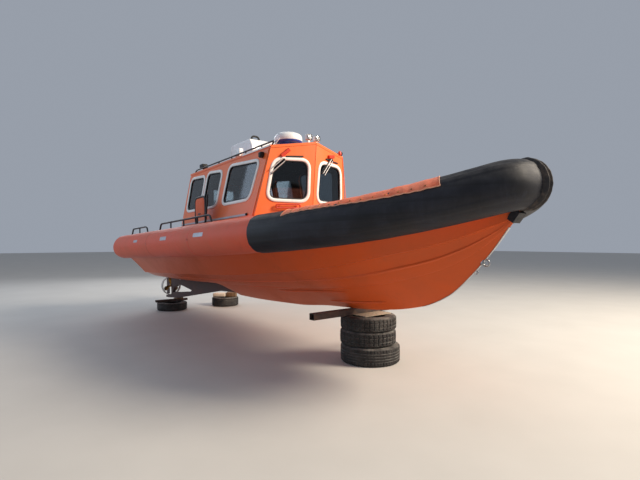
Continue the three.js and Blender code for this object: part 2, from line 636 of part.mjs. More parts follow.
// Roof gear
const RADAR = { x: -1240, z: 2107 }; // z of the dome's underside
const roofTopAt = (y) => ROOF_EDGE_Z + (ROOF_EDGE_HALF - Math.abs(y)) * ((ROOF_RIDGE_Z - ROOF_EDGE_Z) / ROOF_EDGE_HALF);
const domeProfile = [
  [0, 0], [120, 0], [120, 40], [176, 48], [192, 80], [192, 130], [180, 160], [130, 182], [60, 190], [0, 192],
].map(([r, z]) => new THREE.Vector2(r, z));
const radarFoot = plateYZ([[-130, roofTopAt(130) + GAP], [0, ROOF_RIDGE_Z + GAP], [130, roofTopAt(130) + GAP],
  [130, RADAR.z + 2], [-130, RADAR.z + 2]], RADAR.x - 130, RADAR.x + 130);
const dome = new THREE.LatheGeometry(domeProfile, 28).rotateX(Math.PI / 2).translate(RADAR.x, 0, RADAR.z);
add('radar_dome', union(radarFoot, dome), 'white');

const ROOF_BOX = { x0: -2310, x1: -1680, half: 330, z: 2285, brow: 2170 };
const housing = plateXZ([
  [ROOF_BOX.x0 - 40, 1900], [ROOF_BOX.x1 + 30, 1900], [ROOF_BOX.x1 + 30, ROOF_BOX.brow],
  [ROOF_BOX.x1 - 40, ROOF_BOX.z], [ROOF_BOX.x0 + 60, ROOF_BOX.z],
], -ROOF_BOX.half, ROOF_BOX.half);
const roofOver = plateYZ([
  [-900, 1000], [900, 1000], [900, ROOF_EDGE_Z + GAP + (ROOF_EDGE_HALF - 900) * 0.15],
  [0, ROOF_RIDGE_Z + GAP], [-900, ROOF_EDGE_Z + GAP + (ROOF_EDGE_HALF - 900) * 0.15],
], -4000, 500);
add('roof_box', cut(housing, roofOver), 'white');

for (const [i, y] of [-60, 70].entries()) {
  const lampX = RIDGE_TOP_X - 75;
  const lampZ = roofTopAt(y) + 40;
  const foot = box(lampX - 30, lampX + 10, y - 16, y + 16, roofTopAt(Math.abs(y) + 16) - 4, lampZ + 4);
  const body = box(lampX - 40, lampX + 20, y - 42, y + 42, lampZ, lampZ + 72);
  add(`roof_lamp_${i + 1}`, cut(union(foot, body), roofOver), 'white');
}
const RAIL_R = 11;
const railRun = { x0: -2990, x1: -690, y: 560, z: ROOF_EDGE_Z + 48 };
const roofRail = (sign) => {
  const y = sign * railRun.y;
  const line = bentBar([
    [railRun.x0 - 60, y, ROOF_EDGE_Z - 5], [railRun.x0, y, railRun.z],
    [railRun.x1 - 60, y, railRun.z], [railRun.x1 - 110, y, ROOF_EDGE_Z - 5],
  ], RAIL_R);
  const posts = [0.17, 0.34, 0.51, 0.68, 0.85].map((k) => {
    const x = railRun.x0 + (railRun.x1 - railRun.x0) * k;
    return rod([x, y, ROOF_EDGE_Z - 5], [x, y, railRun.z], RAIL_R * 0.8);
  });
  return cut(union(...line, ...posts), roofOver);
};
add('roof_rail_starboard', roofRail(-1), 'black');
add('roof_rail_port', roofRail(1), 'black');

// Rails on the collar, bolted through pads on its top. The part below the collar's surface is cut away.
const COLLAR_RAILS = [
  // name, x aft, x forward, post positions as parts of the run
  ['side_rail', -3620, -1640, [0.26, 0.515, 0.76]],
  ['stern_rail', -5100, -4150, [0.5]],
];
const RAIL = { y: 945, top: 1182, base: 1000, radius: 14, postRadius: 11 };
const collarUnderRails = (sign) => tubeSkin(frames(pathOn(sign, [-5790, -3000, -1600, -1400])), 1);
for (const [name, x0, x1, posts] of COLLAR_RAILS) {
  for (const [side, sign] of [['starboard', -1], ['port', 1]]) {
    const y = sign * RAIL.y;
    const bars = [
      ...bentBar([[x0, y, RAIL.base], [x0 + 90, y, RAIL.top], [x1 - 90, y, RAIL.top], [x1, y, RAIL.base]], RAIL.radius),
      ...posts.map((k) => rod([x0 + (x1 - x0) * k, y, RAIL.base], [x0 + (x1 - x0) * k, y, RAIL.top], RAIL.postRadius)),
    ];
    add(`${name}_${side}`, cut(union(...bars), collarUnderRails(sign)), 'black');
  }
}

// Back board beside the side rail, in its bent frame
const BOARD = { x0: -2330, x1: -1990, y: -880, z0: 1060, z1: 1478, t: 26 };
const board = plateXZ(roundedOutline([
  [BOARD.x0, BOARD.z0], [BOARD.x1, BOARD.z0], [BOARD.x1, BOARD.z1], [BOARD.x0, BOARD.z1],
], 90), BOARD.y - BOARD.t / 2, BOARD.y + BOARD.t / 2);
const boardPost = rod([BOARD.x1 - 34, BOARD.y, RAIL.base - 40], [BOARD.x1 + 66, BOARD.y, BOARD.z1 + 4], 13);
add('back_board', cut(union(board, boardPost), collarUnderRails(-1)), 'canvas');

// Cockpit: the engine in its bay, and the lid that hinges on the casing's forward edge
const lidShell = cut(
  box(ENGINE_BAY.x0 - 70, ENGINE_BAY.x1 + 66, -450, 450, LID.z0, LID.z1),
  box(ENGINE_BAY.x0 + 10, ENGINE_BAY.x1 - 10, -370, 370, 0, LID.z1 - 12),
);
const lidBores = LID_KNUCKLES.map((y) => (
  rod([LID.hingeX, y - 10, LID.hingeZ], [LID.hingeX, y + 90, LID.hingeZ], PIN.bore, 16)));
add('engine_lid', cut(union(
  lidShell,
  ...LID_KNUCKLES.map((y) => rod([LID.hingeX, y, LID.hingeZ], [LID.hingeX, y + 80, LID.hingeZ], PIN.knuckle, 16)),
  ...LID_KNUCKLES.map((y) => box(ENGINE_BAY.x1 + 60, LID.hingeX, y, y + 80, LID.hingeZ - 4, LID.hingeZ + 4)),
), ...lidBores), 'hull');
add('engine', box(-4820, -4020, -290, 290, ENGINE_BAY.z + GAP, 830), 'engine');

// Wheelhouse fittings
const dash = plateXZ([
  [-1070, DECK_Z + GAP], [-1070, 1230], [-1200, 1230], [-1340, 1130], [-1340, 1060], [-1190, 1040], [-1190, DECK_Z + GAP],
], -620, 620);
const dashLegroom = box(-1400, -900, -SOLE_HALF, SOLE_HALF, 500, 760);

// The wheel's shaft runs forward and down into a bore in the console
const WHEEL = { x: -1450, y: -400, z: 1135, tilt: THREE.MathUtils.degToRad(25), radius: 165 };
const onWheelAxis = (geometry) => geometry
  .rotateY(Math.PI / 2 + WHEEL.tilt)
  .translate(WHEEL.x, WHEEL.y, WHEEL.z);
const wheelBore = onWheelAxis(new THREE.CylinderGeometry(13, 13, 110, 16).rotateX(Math.PI / 2).translate(0, 0, 125));
add('console', cut(dash, dashLegroom, wheelBore, ahead(WALL_T + 12)), 'dash');
const wheelSpokes = [90, 210, 330].map((deg) => {
  const a = THREE.MathUtils.degToRad(deg);
  return rod([0, 0, 0], [WHEEL.radius * Math.cos(a), WHEEL.radius * Math.sin(a), 0], 8);
});
const wheel = union(
  new THREE.TorusGeometry(WHEEL.radius, 11, 8, 24),
  ...wheelSpokes,
  new THREE.CylinderGeometry(24, 28, 40, 16).rotateX(Math.PI / 2),
  new THREE.CylinderGeometry(12, 12, 150, 16).rotateX(Math.PI / 2).translate(0, 0, 75),
);
add('helm_wheel', onWheelAxis(wheel), 'black');

// Seats stand on one leg in the well, two and two with an aisle between them
const SEATS = [
  ['helm_seat', -1840, -1],
  ['crew_seat', -1840, 1],
  ['passenger_seat_starboard', -2640, -1],
  ['passenger_seat_port', -2640, 1],
];
for (const [name, x, sign] of SEATS) {
  const y = sign * 400;
  const leg = sign * 305;
  add(name, union(
    box(x - 130, x + 130, leg - 95, leg + 95, SOLE_Z + GAP, 760),
    box(x - 230, x + 230, y - 195, y + 195, 740, 860),
    box(x - 260, x - 150, y - 190, y + 190, 840, 1380),
  ), 'seat');
}

// Under water: skeg with its shoe, guard ring, propeller and rudder
const SHOE_TOP = SHAFT_Z - RING.radius - GAP;
const ARM_Z = [268, 308];
const STOCK = { radius: 15, bore: 16, pin: 11, pinBore: 12 };
const skegOutline = [
  [-2640, 40], [-3300, 40], [-5150, -190], [-5600, -215], [-5840, -215], [-5840, SHOE_TOP - 14], [-5700, SHOE_TOP - 14],
  [-5690, SHOE_TOP], [-5545, SHOE_TOP], [-5545, ARM_Z[0]], [-5840, ARM_Z[0]], [-5840, ARM_Z[1]],
  [-5300, ARM_Z[1]], [-3600, 300], [-2640, 120],
];
const aperture = plateXZ([[-4490, -10], [-4860, 50], [-5100, 80], [-5240, 60], [-5390, 0], [-5460, -95], [-4550, -38]], -200, 200);
const boss = rod([-5545, 0, SHAFT_Z], [-5380, 0, SHAFT_Z], 34, 16);
const shaftBore = rod([-5700, 0, SHAFT_Z], [-5470, 0, SHAFT_Z], 16, 16);
const stockBore = rod([RUDDER_X, 0, ARM_Z[0] - 40], [RUDDER_X, 0, ARM_Z[1] + 40], STOCK.bore, 16);
const heelBore = rod([RUDDER_X, 0, SHOE_TOP - 34], [RUDDER_X, 0, SHOE_TOP + 20], STOCK.pinBore, 16);
const skegPlate = cut(union(plateXZ(skegOutline, -SKEG_T / 2, SKEG_T / 2), boss), aperture, shaftBore, stockBore, heelBore);
add('skeg', cut(skegPlate, ...roomFor(hullSolid)), 'fouling');

const ringTube = (radius, length) => new THREE.CylinderGeometry(radius, radius, length, 28)
  .rotateZ(Math.PI / 2)
  .translate(RING.x, 0, SHAFT_Z);
add('guard_ring', cut(ringTube(RING.radius, RING.length), ringTube(RING.radius - RING.wall, 200)), 'steel');

// Propeller. Columns: radius, half chord, thickness, pitch in degrees
const BLADE = [[24, 40, 30, 66], [80, 62, 22, 50], [130, 60, 15, 38], [166, 26, 6, 32]];
const bladeShape = skin(BLADE.map(([r, chord, t, degrees]) => {
  const pitch = THREE.MathUtils.degToRad(degrees);
  return {
    outline: [[-chord, 0], [0, -t / 2], [chord, 0], [0, t / 2]],
    at: (u, v) => new THREE.Vector3(
      0.5 * (u * Math.sin(pitch) - v * Math.cos(pitch)), u * Math.cos(pitch) + v * Math.sin(pitch), r),
  };
}));
const hub = new THREE.CylinderGeometry(24, 36, 90, 16).rotateZ(-Math.PI / 2).rotateY(Math.PI);
const shaft = new THREE.CylinderGeometry(15, 15, 110, 16).rotateZ(Math.PI / 2).translate(95, 0, 0);
const blades = [0, 120, 240].map((deg) => bladeShape.clone().rotateX(THREE.MathUtils.degToRad(deg)));
add('propeller', union(hub, shaft, ...blades).translate(RING.x, 0, SHAFT_Z), 'bronze');

const rudderSection = [[75, 0], [50, 11], [0, 15], [-50, 11], [-95, 2], [-95, -2], [-50, -11], [0, -15], [50, -11]];
const rudderBlade = skin([[-140, 0.94], [225, 1]].map(([z, scale]) => ({
  outline: rudderSection,
  at: (u, v) => new THREE.Vector3(RUDDER_X + u * scale, v, z),
})));
const rudderStock = rod([RUDDER_X, 0, 200], [RUDDER_X, 0, 350], STOCK.radius, 16);
const rudderPin = rod([RUDDER_X, 0, SHOE_TOP - 30], [RUDDER_X, 0, -120], STOCK.pin, 16);
const tiller = box(RUDDER_X - 20, RUDDER_X + 130, -14, 14, 330, 348);
add('rudder', union(rudderBlade, rudderStock, rudderPin, tiller), 'fouling');

// Bow eye on the stem
const eye = new THREE.TorusGeometry(28, 8, 8, 16).rotateX(Math.PI / 2).translate(1640, 0, 520);
add('bow_eye', cut(eye, ...roomFor(hullSolid)), 'steel');

// What it stands on. These stay level with the ground.
const TYRES = [
  // name, x, y, level, outer radius, width
  ['tyre_front_1', 47, 196, 0, 342, 204],
  ['tyre_front_2', 31, 177, 204 + GAP, 322, 168],
  ['tyre_front_3', 34, 181, 372 + 2 * GAP, 322, 162],
  ['tyre_rear_starboard', -5184, -145, 0, 290, 160],
  ['tyre_rear_port', -5050, 972, 0, 280, 190],
];

function tyreGeometry(radius, width) {
  const r = radius;
  const bore = radius * 0.57;
  const profile = [
    [bore, 34], [bore + 16, 12], [r - 52, 0], [r - 24, 10], [r - 6, 34], [r, 62],
    [r, width - 62], [r - 6, width - 34], [r - 24, width - 10], [r - 52, width], [bore + 16, width - 12],
    [bore, width - 34], [bore, 34],
  ].map(([a, b]) => new THREE.Vector2(a, b));
  const ring = new THREE.LatheGeometry(profile, 30).rotateX(Math.PI / 2);
  ring.deleteAttribute('normal');
  ring.deleteAttribute('uv');
  return outwards(mergeVertices(ring, 1e-3));
}

for (const [name, x, y, level, radius, width] of TYRES) {
  add(name, tyreGeometry(radius, width).translate(x, y, level), 'rubber', ground);
}

// A point of the boat's middle plane, seen from the level ground frame
function onGround([x, z]) {
  return [x * Math.cos(TRIM) - z * Math.sin(TRIM), KEEL_HEIGHT + x * Math.sin(TRIM) + z * Math.cos(TRIM)];
}

// Steel beams on the tyres, and the wood that the boat rests on
const FRONT_STACK = 204 + 168 + 162 + 3 * GAP;
const FRONT_BEAM = { x0: -92, x1: -10, z: onGround([-92, 0])[1] - GAP };
add('beam_front', box(FRONT_BEAM.x0, FRONT_BEAM.x1, -590, 1010, FRONT_STACK, FRONT_BEAM.z), 'steel', ground);
const REAR_BEAM = { x0: -5290, x1: -5210, z: 205 };
add('beam_rear', box(REAR_BEAM.x0, REAR_BEAM.x1, -450, 190, 160 + GAP, REAR_BEAM.z), 'steel', ground);
const shoeLine = [-5150, -5330].map((x) => onGround([x, -190 + (25 * (x + 5150)) / 450 - GAP]));
const blockRear = [[shoeLine[1][0], REAR_BEAM.z + GAP], [shoeLine[0][0], REAR_BEAM.z + GAP], ...shoeLine];
add('block_rear', plateXZ(blockRear, -70, 70), 'wood', ground);
const wedge = plateYZ([[60, FRONT_BEAM.z + GAP], [330, FRONT_BEAM.z + GAP], [330, 790], [60, 700]], -86, -16);
const hullOnGround = hullSolid.clone()
  .applyMatrix4(new THREE.Matrix4().makeRotationY(-TRIM))
  .translate(0, 0, KEEL_HEIGHT - GAP);
add('chock_front', cut(wedge, hullOnGround), 'wood', ground);

export default root;
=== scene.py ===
# %% [markdown]
# # An inshore rescue boat, parked on tyres
#
# This lesson dresses a rescue boat in Blender, cell by cell: a rigid hull with an inflated collar, a small
# wheelhouse, and the tyres and beams that it stands on. The solid parts are already made and packed with
# their joints. Here they get their fine surfaces and their finishes. Nearly every surface is worked out
# with numpy as a whole array of points, because a formula is easy to read, easy to change and gives the
# same mesh each time.

import json
import math

import bmesh
import bpy
import numpy as np
from mathutils import Matrix, Vector


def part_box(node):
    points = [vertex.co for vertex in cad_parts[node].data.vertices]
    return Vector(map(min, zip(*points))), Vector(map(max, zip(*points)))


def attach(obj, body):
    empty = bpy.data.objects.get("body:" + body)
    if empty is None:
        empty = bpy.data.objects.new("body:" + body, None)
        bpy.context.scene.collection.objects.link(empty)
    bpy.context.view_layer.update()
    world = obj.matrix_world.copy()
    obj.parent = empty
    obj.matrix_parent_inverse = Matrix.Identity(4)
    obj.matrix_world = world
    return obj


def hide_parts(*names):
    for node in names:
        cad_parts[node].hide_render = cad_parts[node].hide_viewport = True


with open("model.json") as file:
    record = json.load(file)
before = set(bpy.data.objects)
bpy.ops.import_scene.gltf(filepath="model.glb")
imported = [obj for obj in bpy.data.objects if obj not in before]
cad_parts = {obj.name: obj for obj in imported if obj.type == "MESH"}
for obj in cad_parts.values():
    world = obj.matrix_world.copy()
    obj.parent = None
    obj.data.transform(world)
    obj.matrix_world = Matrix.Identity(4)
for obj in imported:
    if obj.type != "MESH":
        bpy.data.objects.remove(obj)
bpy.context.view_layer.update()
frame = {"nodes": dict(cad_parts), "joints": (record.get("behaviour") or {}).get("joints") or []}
nodes = frame["nodes"]
joints = {joint["name"]: joint for joint in frame["joints"]}

# %% [markdown]
# The boat is parked with its bow a little up, so its own directions are not the ground's. It is far easier
# to model it level, along its keel, and to tilt the result. The joints give the tilt for free: the
# propeller turns about the boat's long axis, and the rudder about its upright one. Every boat piece below
# is written in the boat's own metres (x forward, y to port, z up from the keel) and `on_boat` puts it in
# place.

# %% The boat's own axes
SHAFT = np.array([-5.625, 0.0, 0.040])
forward = np.array(joints["propeller_spin"]["axis"], float)
upward = np.array(joints["rudder_turn"]["axis"], float)
boat_axes = np.stack([forward, np.cross(upward, forward), upward])
boat_origin = np.array(joints["propeller_spin"]["pos_m"], float) - SHAFT @ boat_axes
trim = math.asin(forward[2])


def on_boat(points):
    """Boat metres to world metres: a turn by the trim, then a shift."""
    return points @ boat_axes + boat_origin


def on_ground(points):
    """Level metres, with x counted from the front beam, to world metres."""
    return points + [boat_origin[0], 0, 0]


print("trim in degrees:", round(math.degrees(trim), 2), "origin:", boat_origin.round(4))

# %% [markdown]
# ## Forms
#
# A *form* is a small bundle: points, four-sided faces, a few many-sided faces for end caps, and UV
# coordinates in metres. A grid of points is the simplest one. Columns that come back to their start repeat
# the first column, so the UV map has a clean seam, and the doubled points are merged when the mesh is made.

# %% Grids, caps and joins
def grid(points, caps=False):
    """A form from an array of points (rows, columns, 3). u is the mean length along the rows and v the mean
    length across the columns, both in metres. With caps, the first and last rows are closed by one face
    each."""
    rows, columns = points.shape[:2]
    index = np.arange(rows * columns).reshape(rows, columns)
    faces = np.stack([index[:-1, :-1], index[:-1, 1:], index[1:, 1:], index[1:, :-1]], -1).reshape(-1, 4)
    down_rows = np.linalg.norm(np.diff(points, axis=0), axis=2).mean(1).cumsum()
    over_columns = np.linalg.norm(np.diff(points, axis=1), axis=2).mean(0).cumsum()
    u, v = np.meshgrid(np.append(0, down_rows), np.append(0, over_columns), indexing="ij")
    ends = [index[0, :0:-1].tolist(), index[-1, :-1].tolist()] if caps else []
    return points.reshape(-1, 3), faces, ends, np.stack([u, v], -1).reshape(-1, 2)


def join(*forms):
    """Several forms as one: each one's face numbers are raised by the points before it."""
    starts = np.cumsum([0] + [len(form[0]) for form in forms])
    points = np.concatenate([form[0] for form in forms])
    faces = np.concatenate([form[1] + start for form, start in zip(forms, starts)])
    ends = [[i + int(start) for i in end] for form, start in zip(forms, starts) for end in form[2]]
    return points, faces, ends, np.concatenate([form[3] for form in forms])


def moved(form, shift=(0, 0, 0), turn=None, about=(0, 0, 0)):
    """A form turned by a 3x3 matrix about a point, then shifted."""
    points = form[0]
    if turn is not None:
        points = (points - about) @ np.asarray(turn, float).T + about
    return (points + shift, *form[1:])


def mirrored(form):
    """The same form on the other side of the boat: y changes sign."""
    return (form[0] * [1, -1, 1], *form[1:])


def rotation(degrees, axis):
    """A 3x3 turn about an axis."""
    return np.array(Matrix.Rotation(math.radians(degrees), 3, axis))


def facing(direction):
    """The 3x3 turn that points the z axis along a direction."""
    return np.array(Vector(direction).to_track_quat("Z", "Y").to_matrix())


print("a test grid has", len(grid(np.zeros((5, 9, 3)))[1]), "faces")

# %% [markdown]
# Most of a boat is bars, tubes and round things. A *sweep* carries a profile along a path: at each point of
# the path the profile's two directions are "sideways" and "up", both square to the path. A *lathe* turns a
# profile about an axis. A *block* is a box whose edges are rounded, worked out as a small ball cut in eight
# and pulled apart to the box's corners, because no made thing has a truly sharp edge.

# %% Sweeps, bars, lathes and blocks
def loop(radius, sides=16):
    """A closed ring of (sideways, up) points, the first repeated at the end."""
    a = np.linspace(0, 2 * np.pi, sides + 1)
    return np.stack([radius * np.cos(a), radius * np.sin(a)], -1)


def directions(path, up=(0, 0, 1)):
    """Sideways and up at each point of a path: sideways = tangent x up, then up = sideways x tangent."""
    tangent = np.gradient(path, axis=0)
    tangent /= np.linalg.norm(tangent, axis=1, keepdims=True)
    side = np.cross(tangent, np.broadcast_to(up, path.shape))
    side /= np.linalg.norm(side, axis=1, keepdims=True)
    return side, np.cross(side, tangent)


def sweep(path, profile, up=(0, 0, 1)):
    """Points (rows, columns, 3) of a profile, one for all rows or one for each, carried along a path."""
    path = np.asarray(path, float)
    profile = np.asarray(profile, float)
    if profile.ndim == 2:
        profile = np.broadcast_to(profile, (len(path), *profile.shape))
    side, above = directions(path, up)
    return path[:, None] + profile[..., :1] * side[:, None] + profile[..., 1:] * above[:, None]


def eased(corners, radius, steps=6):
    """A path through corner points, each rounded by a short parabola that starts a radius before it."""
    corners = np.asarray(corners, float)
    t = np.linspace(0, 1, steps + 1)[:, None]
    path = [corners[:1]]
    for before, corner, after in zip(corners, corners[1:], corners[2:]):
        start = corner + (before - corner) / np.linalg.norm(before - corner) * radius
        end = corner + (after - corner) / np.linalg.norm(after - corner) * radius
        path.append((1 - t) ** 2 * start + 2 * t * (1 - t) * corner + t ** 2 * end)
    return np.concatenate([*path, corners[-1:]])


def bar(corners, radius, bend=0.04, sides=14, up=(0, 0.02, 1)):
    """A round bar bent at its corners."""
    path = eased(corners, bend) if len(corners) > 2 else np.asarray(corners, float)
    return grid(sweep(path, loop(radius, sides), up), caps=True)


def lathe(profile, steps=48, turn=None, shift=(0, 0, 0)):
    """A closed profile of (radius, height) turned about the z axis."""
    profile = np.asarray(profile, float)
    a = np.linspace(0, 2 * np.pi, steps + 1)[None]
    r, z = profile[:, :1], profile[:, 1:]
    points = np.stack([r * np.cos(a), r * np.sin(a), z + 0 * a], -1)
    return moved(grid(points), shift, turn)


def block(low, high, radius=0.004, steps=2):
    """A box with rounded edges. With d the direction of a point on a ball, a point is
    centre + sign(d) * (half size - radius) + radius * d."""
    low, high = np.asarray(low, float), np.asarray(high, float)
    radius = min(radius, (high - low).min() / 2.01)
    quarter = np.linspace(0, np.pi / 2, steps + 1)
    a = (np.arange(4)[:, None] * np.pi / 2 + quarter).ravel()
    b = np.concatenate([quarter - np.pi / 2, quarter])
    sx = np.repeat([1, -1, -1, 1], steps + 1)
    sy = np.repeat([1, 1, -1, -1], steps + 1)
    sz = np.repeat([-1, 1], steps + 1)
    a, sx, sy = (np.append(v, v[0]) for v in (a, sx, sy))
    d = np.stack([np.cos(b)[:, None] * np.cos(a), np.cos(b)[:, None] * np.sin(a),
                  np.sin(b)[:, None] + 0 * a], -1)
    sign = np.stack(np.broadcast_arrays(sx[None], sy[None], sz[:, None]), -1)
    inner = (high - low) / 2 - radius
    return grid((low + high) / 2 + sign * inner + radius * d, caps=True)


print("a rounded block has", len(block((0, 0, 0), (1, 1, 1))[0]), "points")

# %% [markdown]
# One function turns forms into an object. It merges doubled points, makes closed skins point outwards,
# shades smooth except where two faces meet at a clear angle, hangs the piece on an empty for the body it
# rides on, hides the solids it stands for and gives it its finish.

# %% From forms to pieces
MERGE = 2e-5  # points nearer to each other than this become one


def linked(name, data):
    """A new object in the scene."""
    thing = bpy.data.objects.new(name, data)
    bpy.context.scene.collection.objects.link(thing)
    return thing


def merged(mesh, slivers=False):
    """Doubled points become one, the skin points outwards, and faces without area go if slivers is set."""
    work = bmesh.new()
    work.from_mesh(mesh)
    bmesh.ops.remove_doubles(work, verts=work.verts, dist=MERGE)
    if slivers:
        bmesh.ops.dissolve_degenerate(work, edges=work.edges, dist=1e-6)
    bmesh.ops.recalc_face_normals(work, faces=work.faces)
    work.to_mesh(mesh)
    work.free()


def piece(name, form, material, body="boat", replaces=(), place=on_boat, crease=35):
    """A mesh object from a form, riding on a body."""
    points, faces, ends, uv = form
    mesh = bpy.data.meshes.new(name)
    mesh.from_pydata(place(points).tolist(), [], faces.tolist() + ends)
    corner = np.empty(len(mesh.loops), np.int32)
    mesh.loops.foreach_get("vertex_index", corner)
    mesh.uv_layers.new(name="UVMap").data.foreach_set("uv", uv[corner].ravel().astype(np.float32))
    merged(mesh, slivers=True)
    mesh.shade_smooth()
    mesh.set_sharp_from_angle(angle=math.radians(crease))
    mesh.materials.append(material)
    thing = linked(name, mesh)
    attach(thing, body)
    if replaces:
        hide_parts(*replaces)
    print(f"{name}: {len(mesh.polygons)} faces")
    return thing


def modifier(thing, kind, **settings):
    """Adds a modifier and sets it up."""
    added = thing.modifiers.new(kind.title(), kind)
    for key, value in settings.items():
        setattr(added, key, value)
    return added


def from_solid(solid, material, width=0.003, outward=None, inside=None, body="boat"):
    """A copy of a solid of the frame with merged points, flat faces made whole and softened edges. Faces
    that look away from the direction outward, if it is given, take the inside's material instead."""
    work = bmesh.new()
    work.from_mesh(nodes[solid].data)
    bmesh.ops.remove_doubles(work, verts=work.verts, dist=5e-5)
    bmesh.ops.dissolve_limit(work, angle_limit=math.radians(1.5), verts=work.verts, edges=work.edges)
    if outward is not None:
        out = Vector(outward)
        for face in work.faces:
            face.material_index = int(face.normal.dot(out) < -0.5)
    mesh = bpy.data.meshes.new(solid + "_finished")
    work.to_mesh(mesh)
    work.free()
    for side in (material, inside or material):
        mesh.materials.append(side)
    thing = linked(solid + "_finished", mesh)
    modifier(thing, "BEVEL", width=width, segments=2, limit_method="ANGLE", angle_limit=math.radians(28),
             harden_normals=False, use_clamp_overlap=True)
    mesh.shade_smooth()
    mesh.set_sharp_from_angle(angle=math.radians(35))
    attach(thing, body)
    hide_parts(solid)
    return thing


print("ready to make pieces")

# %% [markdown]
# ## Finishes
#
# Materials are small node graphs. `node` adds one node: a value that is a socket is linked, and anything
# else is set on the node. Effects that several finishes share, such as dirt, runs, scratches and dust, are
# node groups with named inputs, made once. They put out masks and colours only. What is constant all over a
# surface, like the clear coat's roughness, is set on the shader itself.

# %% Nodes and groups
def node(tree, kind, inputs=None, **settings):
    """A shader node with its settings and inputs; an input that is a socket gets a link."""
    made = tree.nodes.new("ShaderNode" + kind)
    for key, value in settings.items():
        setattr(made, key, value)
    for key, value in (inputs or {}).items():
        if isinstance(value, bpy.types.NodeSocket):
            tree.links.new(value, made.inputs[key])
        else:
            made.inputs[key].default_value = value
    return made


def maths(tree, operation, a, b=0.5):
    """One sum on one or two values."""
    return node(tree, "Math", {0: a, 1: b}, operation=operation, use_clamp=False).outputs[0]


def fade(tree, value, low, high):
    """0 below low, 1 above high, with a soft step between."""
    return node(tree, "MapRange", {"Value": value, "From Min": low, "From Max": high},
                interpolation_type="SMOOTHSTEP").outputs["Result"]


def mixed(tree, factor, a, b, how="MIX"):
    """Two colours mixed by a factor."""
    return node(tree, "Mix", {0: factor, 6: a, 7: b}, data_type="RGBA", blend_type=how).outputs[2]


def noise(tree, vector, scale, detail=4.0, roughness=0.55, distortion=0.0):
    """Soft noise between 0 and 1."""
    return node(tree, "TexNoise", {"Vector": vector, "Scale": scale, "Detail": detail,
                                   "Roughness": roughness, "Distortion": distortion}).outputs["Fac"]


def boat_space(tree, stretch=(1, 1, 1)):
    """Object coordinates turned back to the boat's own directions, then stretched."""
    here = node(tree, "TexCoord").outputs["Object"]
    back = node(tree, "Mapping", {"Vector": here, "Rotation": (0, trim, 0),
                                  "Location": tuple(-boat_origin @ boat_axes.T)}).outputs[0]
    return node(tree, "Mapping", {"Vector": back, "Scale": stretch}).outputs[0]


def new_group(name, inputs, outputs):
    """An empty node group. Inputs and outputs are (name, kind, default) rows. Returns its tree, its input
    node and its output node."""
    tree = bpy.data.node_groups.new(name, "ShaderNodeTree")
    for direction, rows in (("INPUT", inputs), ("OUTPUT", outputs)):
        for label, kind, default in rows:
            socket = tree.interface.new_socket(label, in_out=direction, socket_type="NodeSocket" + kind)
            if default is not None:
                socket.default_value = default
    return tree, tree.nodes.new("NodeGroupInput"), tree.nodes.new("NodeGroupOutput")


def group(tree, made, **inputs):
    """A group placed in a material, its inputs given by name with _ for a space."""
    placed = tree.nodes.new("ShaderNodeGroup")
    placed.node_tree = made
    for key, value in inputs.items():
        socket = placed.inputs[key.replace("_", " ").capitalize()]
        if isinstance(value, bpy.types.NodeSocket):
            tree.links.new(value, socket)
        else:
            socket.default_value = value
    return placed.outputs


print("node helpers ready")

# %% [markdown]
# Four effects do most of the ageing. *Weathering* lays big soft patches of another colour over a base.
# *Runs* are the thin upright marks that rain leaves. *Scratches* are short fine lines in all directions,
# from noise that is stretched a lot and cut near its top. *Dust* lies where a face looks up, and breaks up
# with noise.

# %% Shared effects
weathering, ins, outs = new_group(
    "weathering",
    [("Vector", "Vector", None), ("Colour", "Color", (0.8, 0.8, 0.8, 1)),
     ("Worn", "Color", (0.4, 0.4, 0.4, 1)), ("Scale", "Float", 1.5), ("Amount", "Float", 0.5)],
    [("Colour", "Color", None), ("Mask", "Float", None)])
big = noise(weathering, ins.outputs["Vector"], ins.outputs["Scale"], 6.0, 0.62, 0.4)
mask = maths(weathering, "MULTIPLY", fade(weathering, big, 0.42, 0.68), ins.outputs["Amount"])
weathering.links.new(mixed(weathering, mask, ins.outputs["Colour"], ins.outputs["Worn"]),
                     outs.inputs["Colour"])
weathering.links.new(mask, outs.inputs["Mask"])

runs, ins, outs = new_group(
    "runs", [("Vector", "Vector", None), ("Fineness", "Float", 22.0), ("Length", "Float", 0.06)],
    [("Mask", "Float", None)])
parts = node(runs, "SeparateXYZ", {0: ins.outputs["Vector"]}).outputs
tall = node(runs, "CombineXYZ", {0: parts[0], 1: parts[1],
                                 2: maths(runs, "MULTIPLY", parts[2], ins.outputs["Length"])}).outputs[0]
lines = fade(runs, noise(runs, tall, ins.outputs["Fineness"], 3.0, 0.6), 0.5, 0.72)
breaks = fade(runs, noise(runs, ins.outputs["Vector"], 2.2, 3.0), 0.4, 0.7)
runs.links.new(maths(runs, "MULTIPLY", lines, breaks), outs.inputs["Mask"])

scratches, ins, outs = new_group(
    "scratches", [("Vector", "Vector", None), ("Scale", "Float", 6.0), ("Amount", "Float", 1.0)],
    [("Mask", "Float", None)])
total = 0.0
for turn, stretch in ((0.4, (1, 14, 1)), (1.3, (12, 1, 1)), (-0.5, (1, 2, 16))):
    turned = node(scratches, "Mapping", {"Vector": ins.outputs["Vector"], "Rotation": (turn, turn, turn),
                                         "Scale": stretch}).outputs[0]
    fine = fade(scratches, noise(scratches, turned, ins.outputs["Scale"], 5.0, 0.7, 0.3), 0.66, 0.74)
    total = maths(scratches, "ADD", fine, total)
scratches.links.new(maths(scratches, "MULTIPLY", total, ins.outputs["Amount"]), outs.inputs["Mask"])

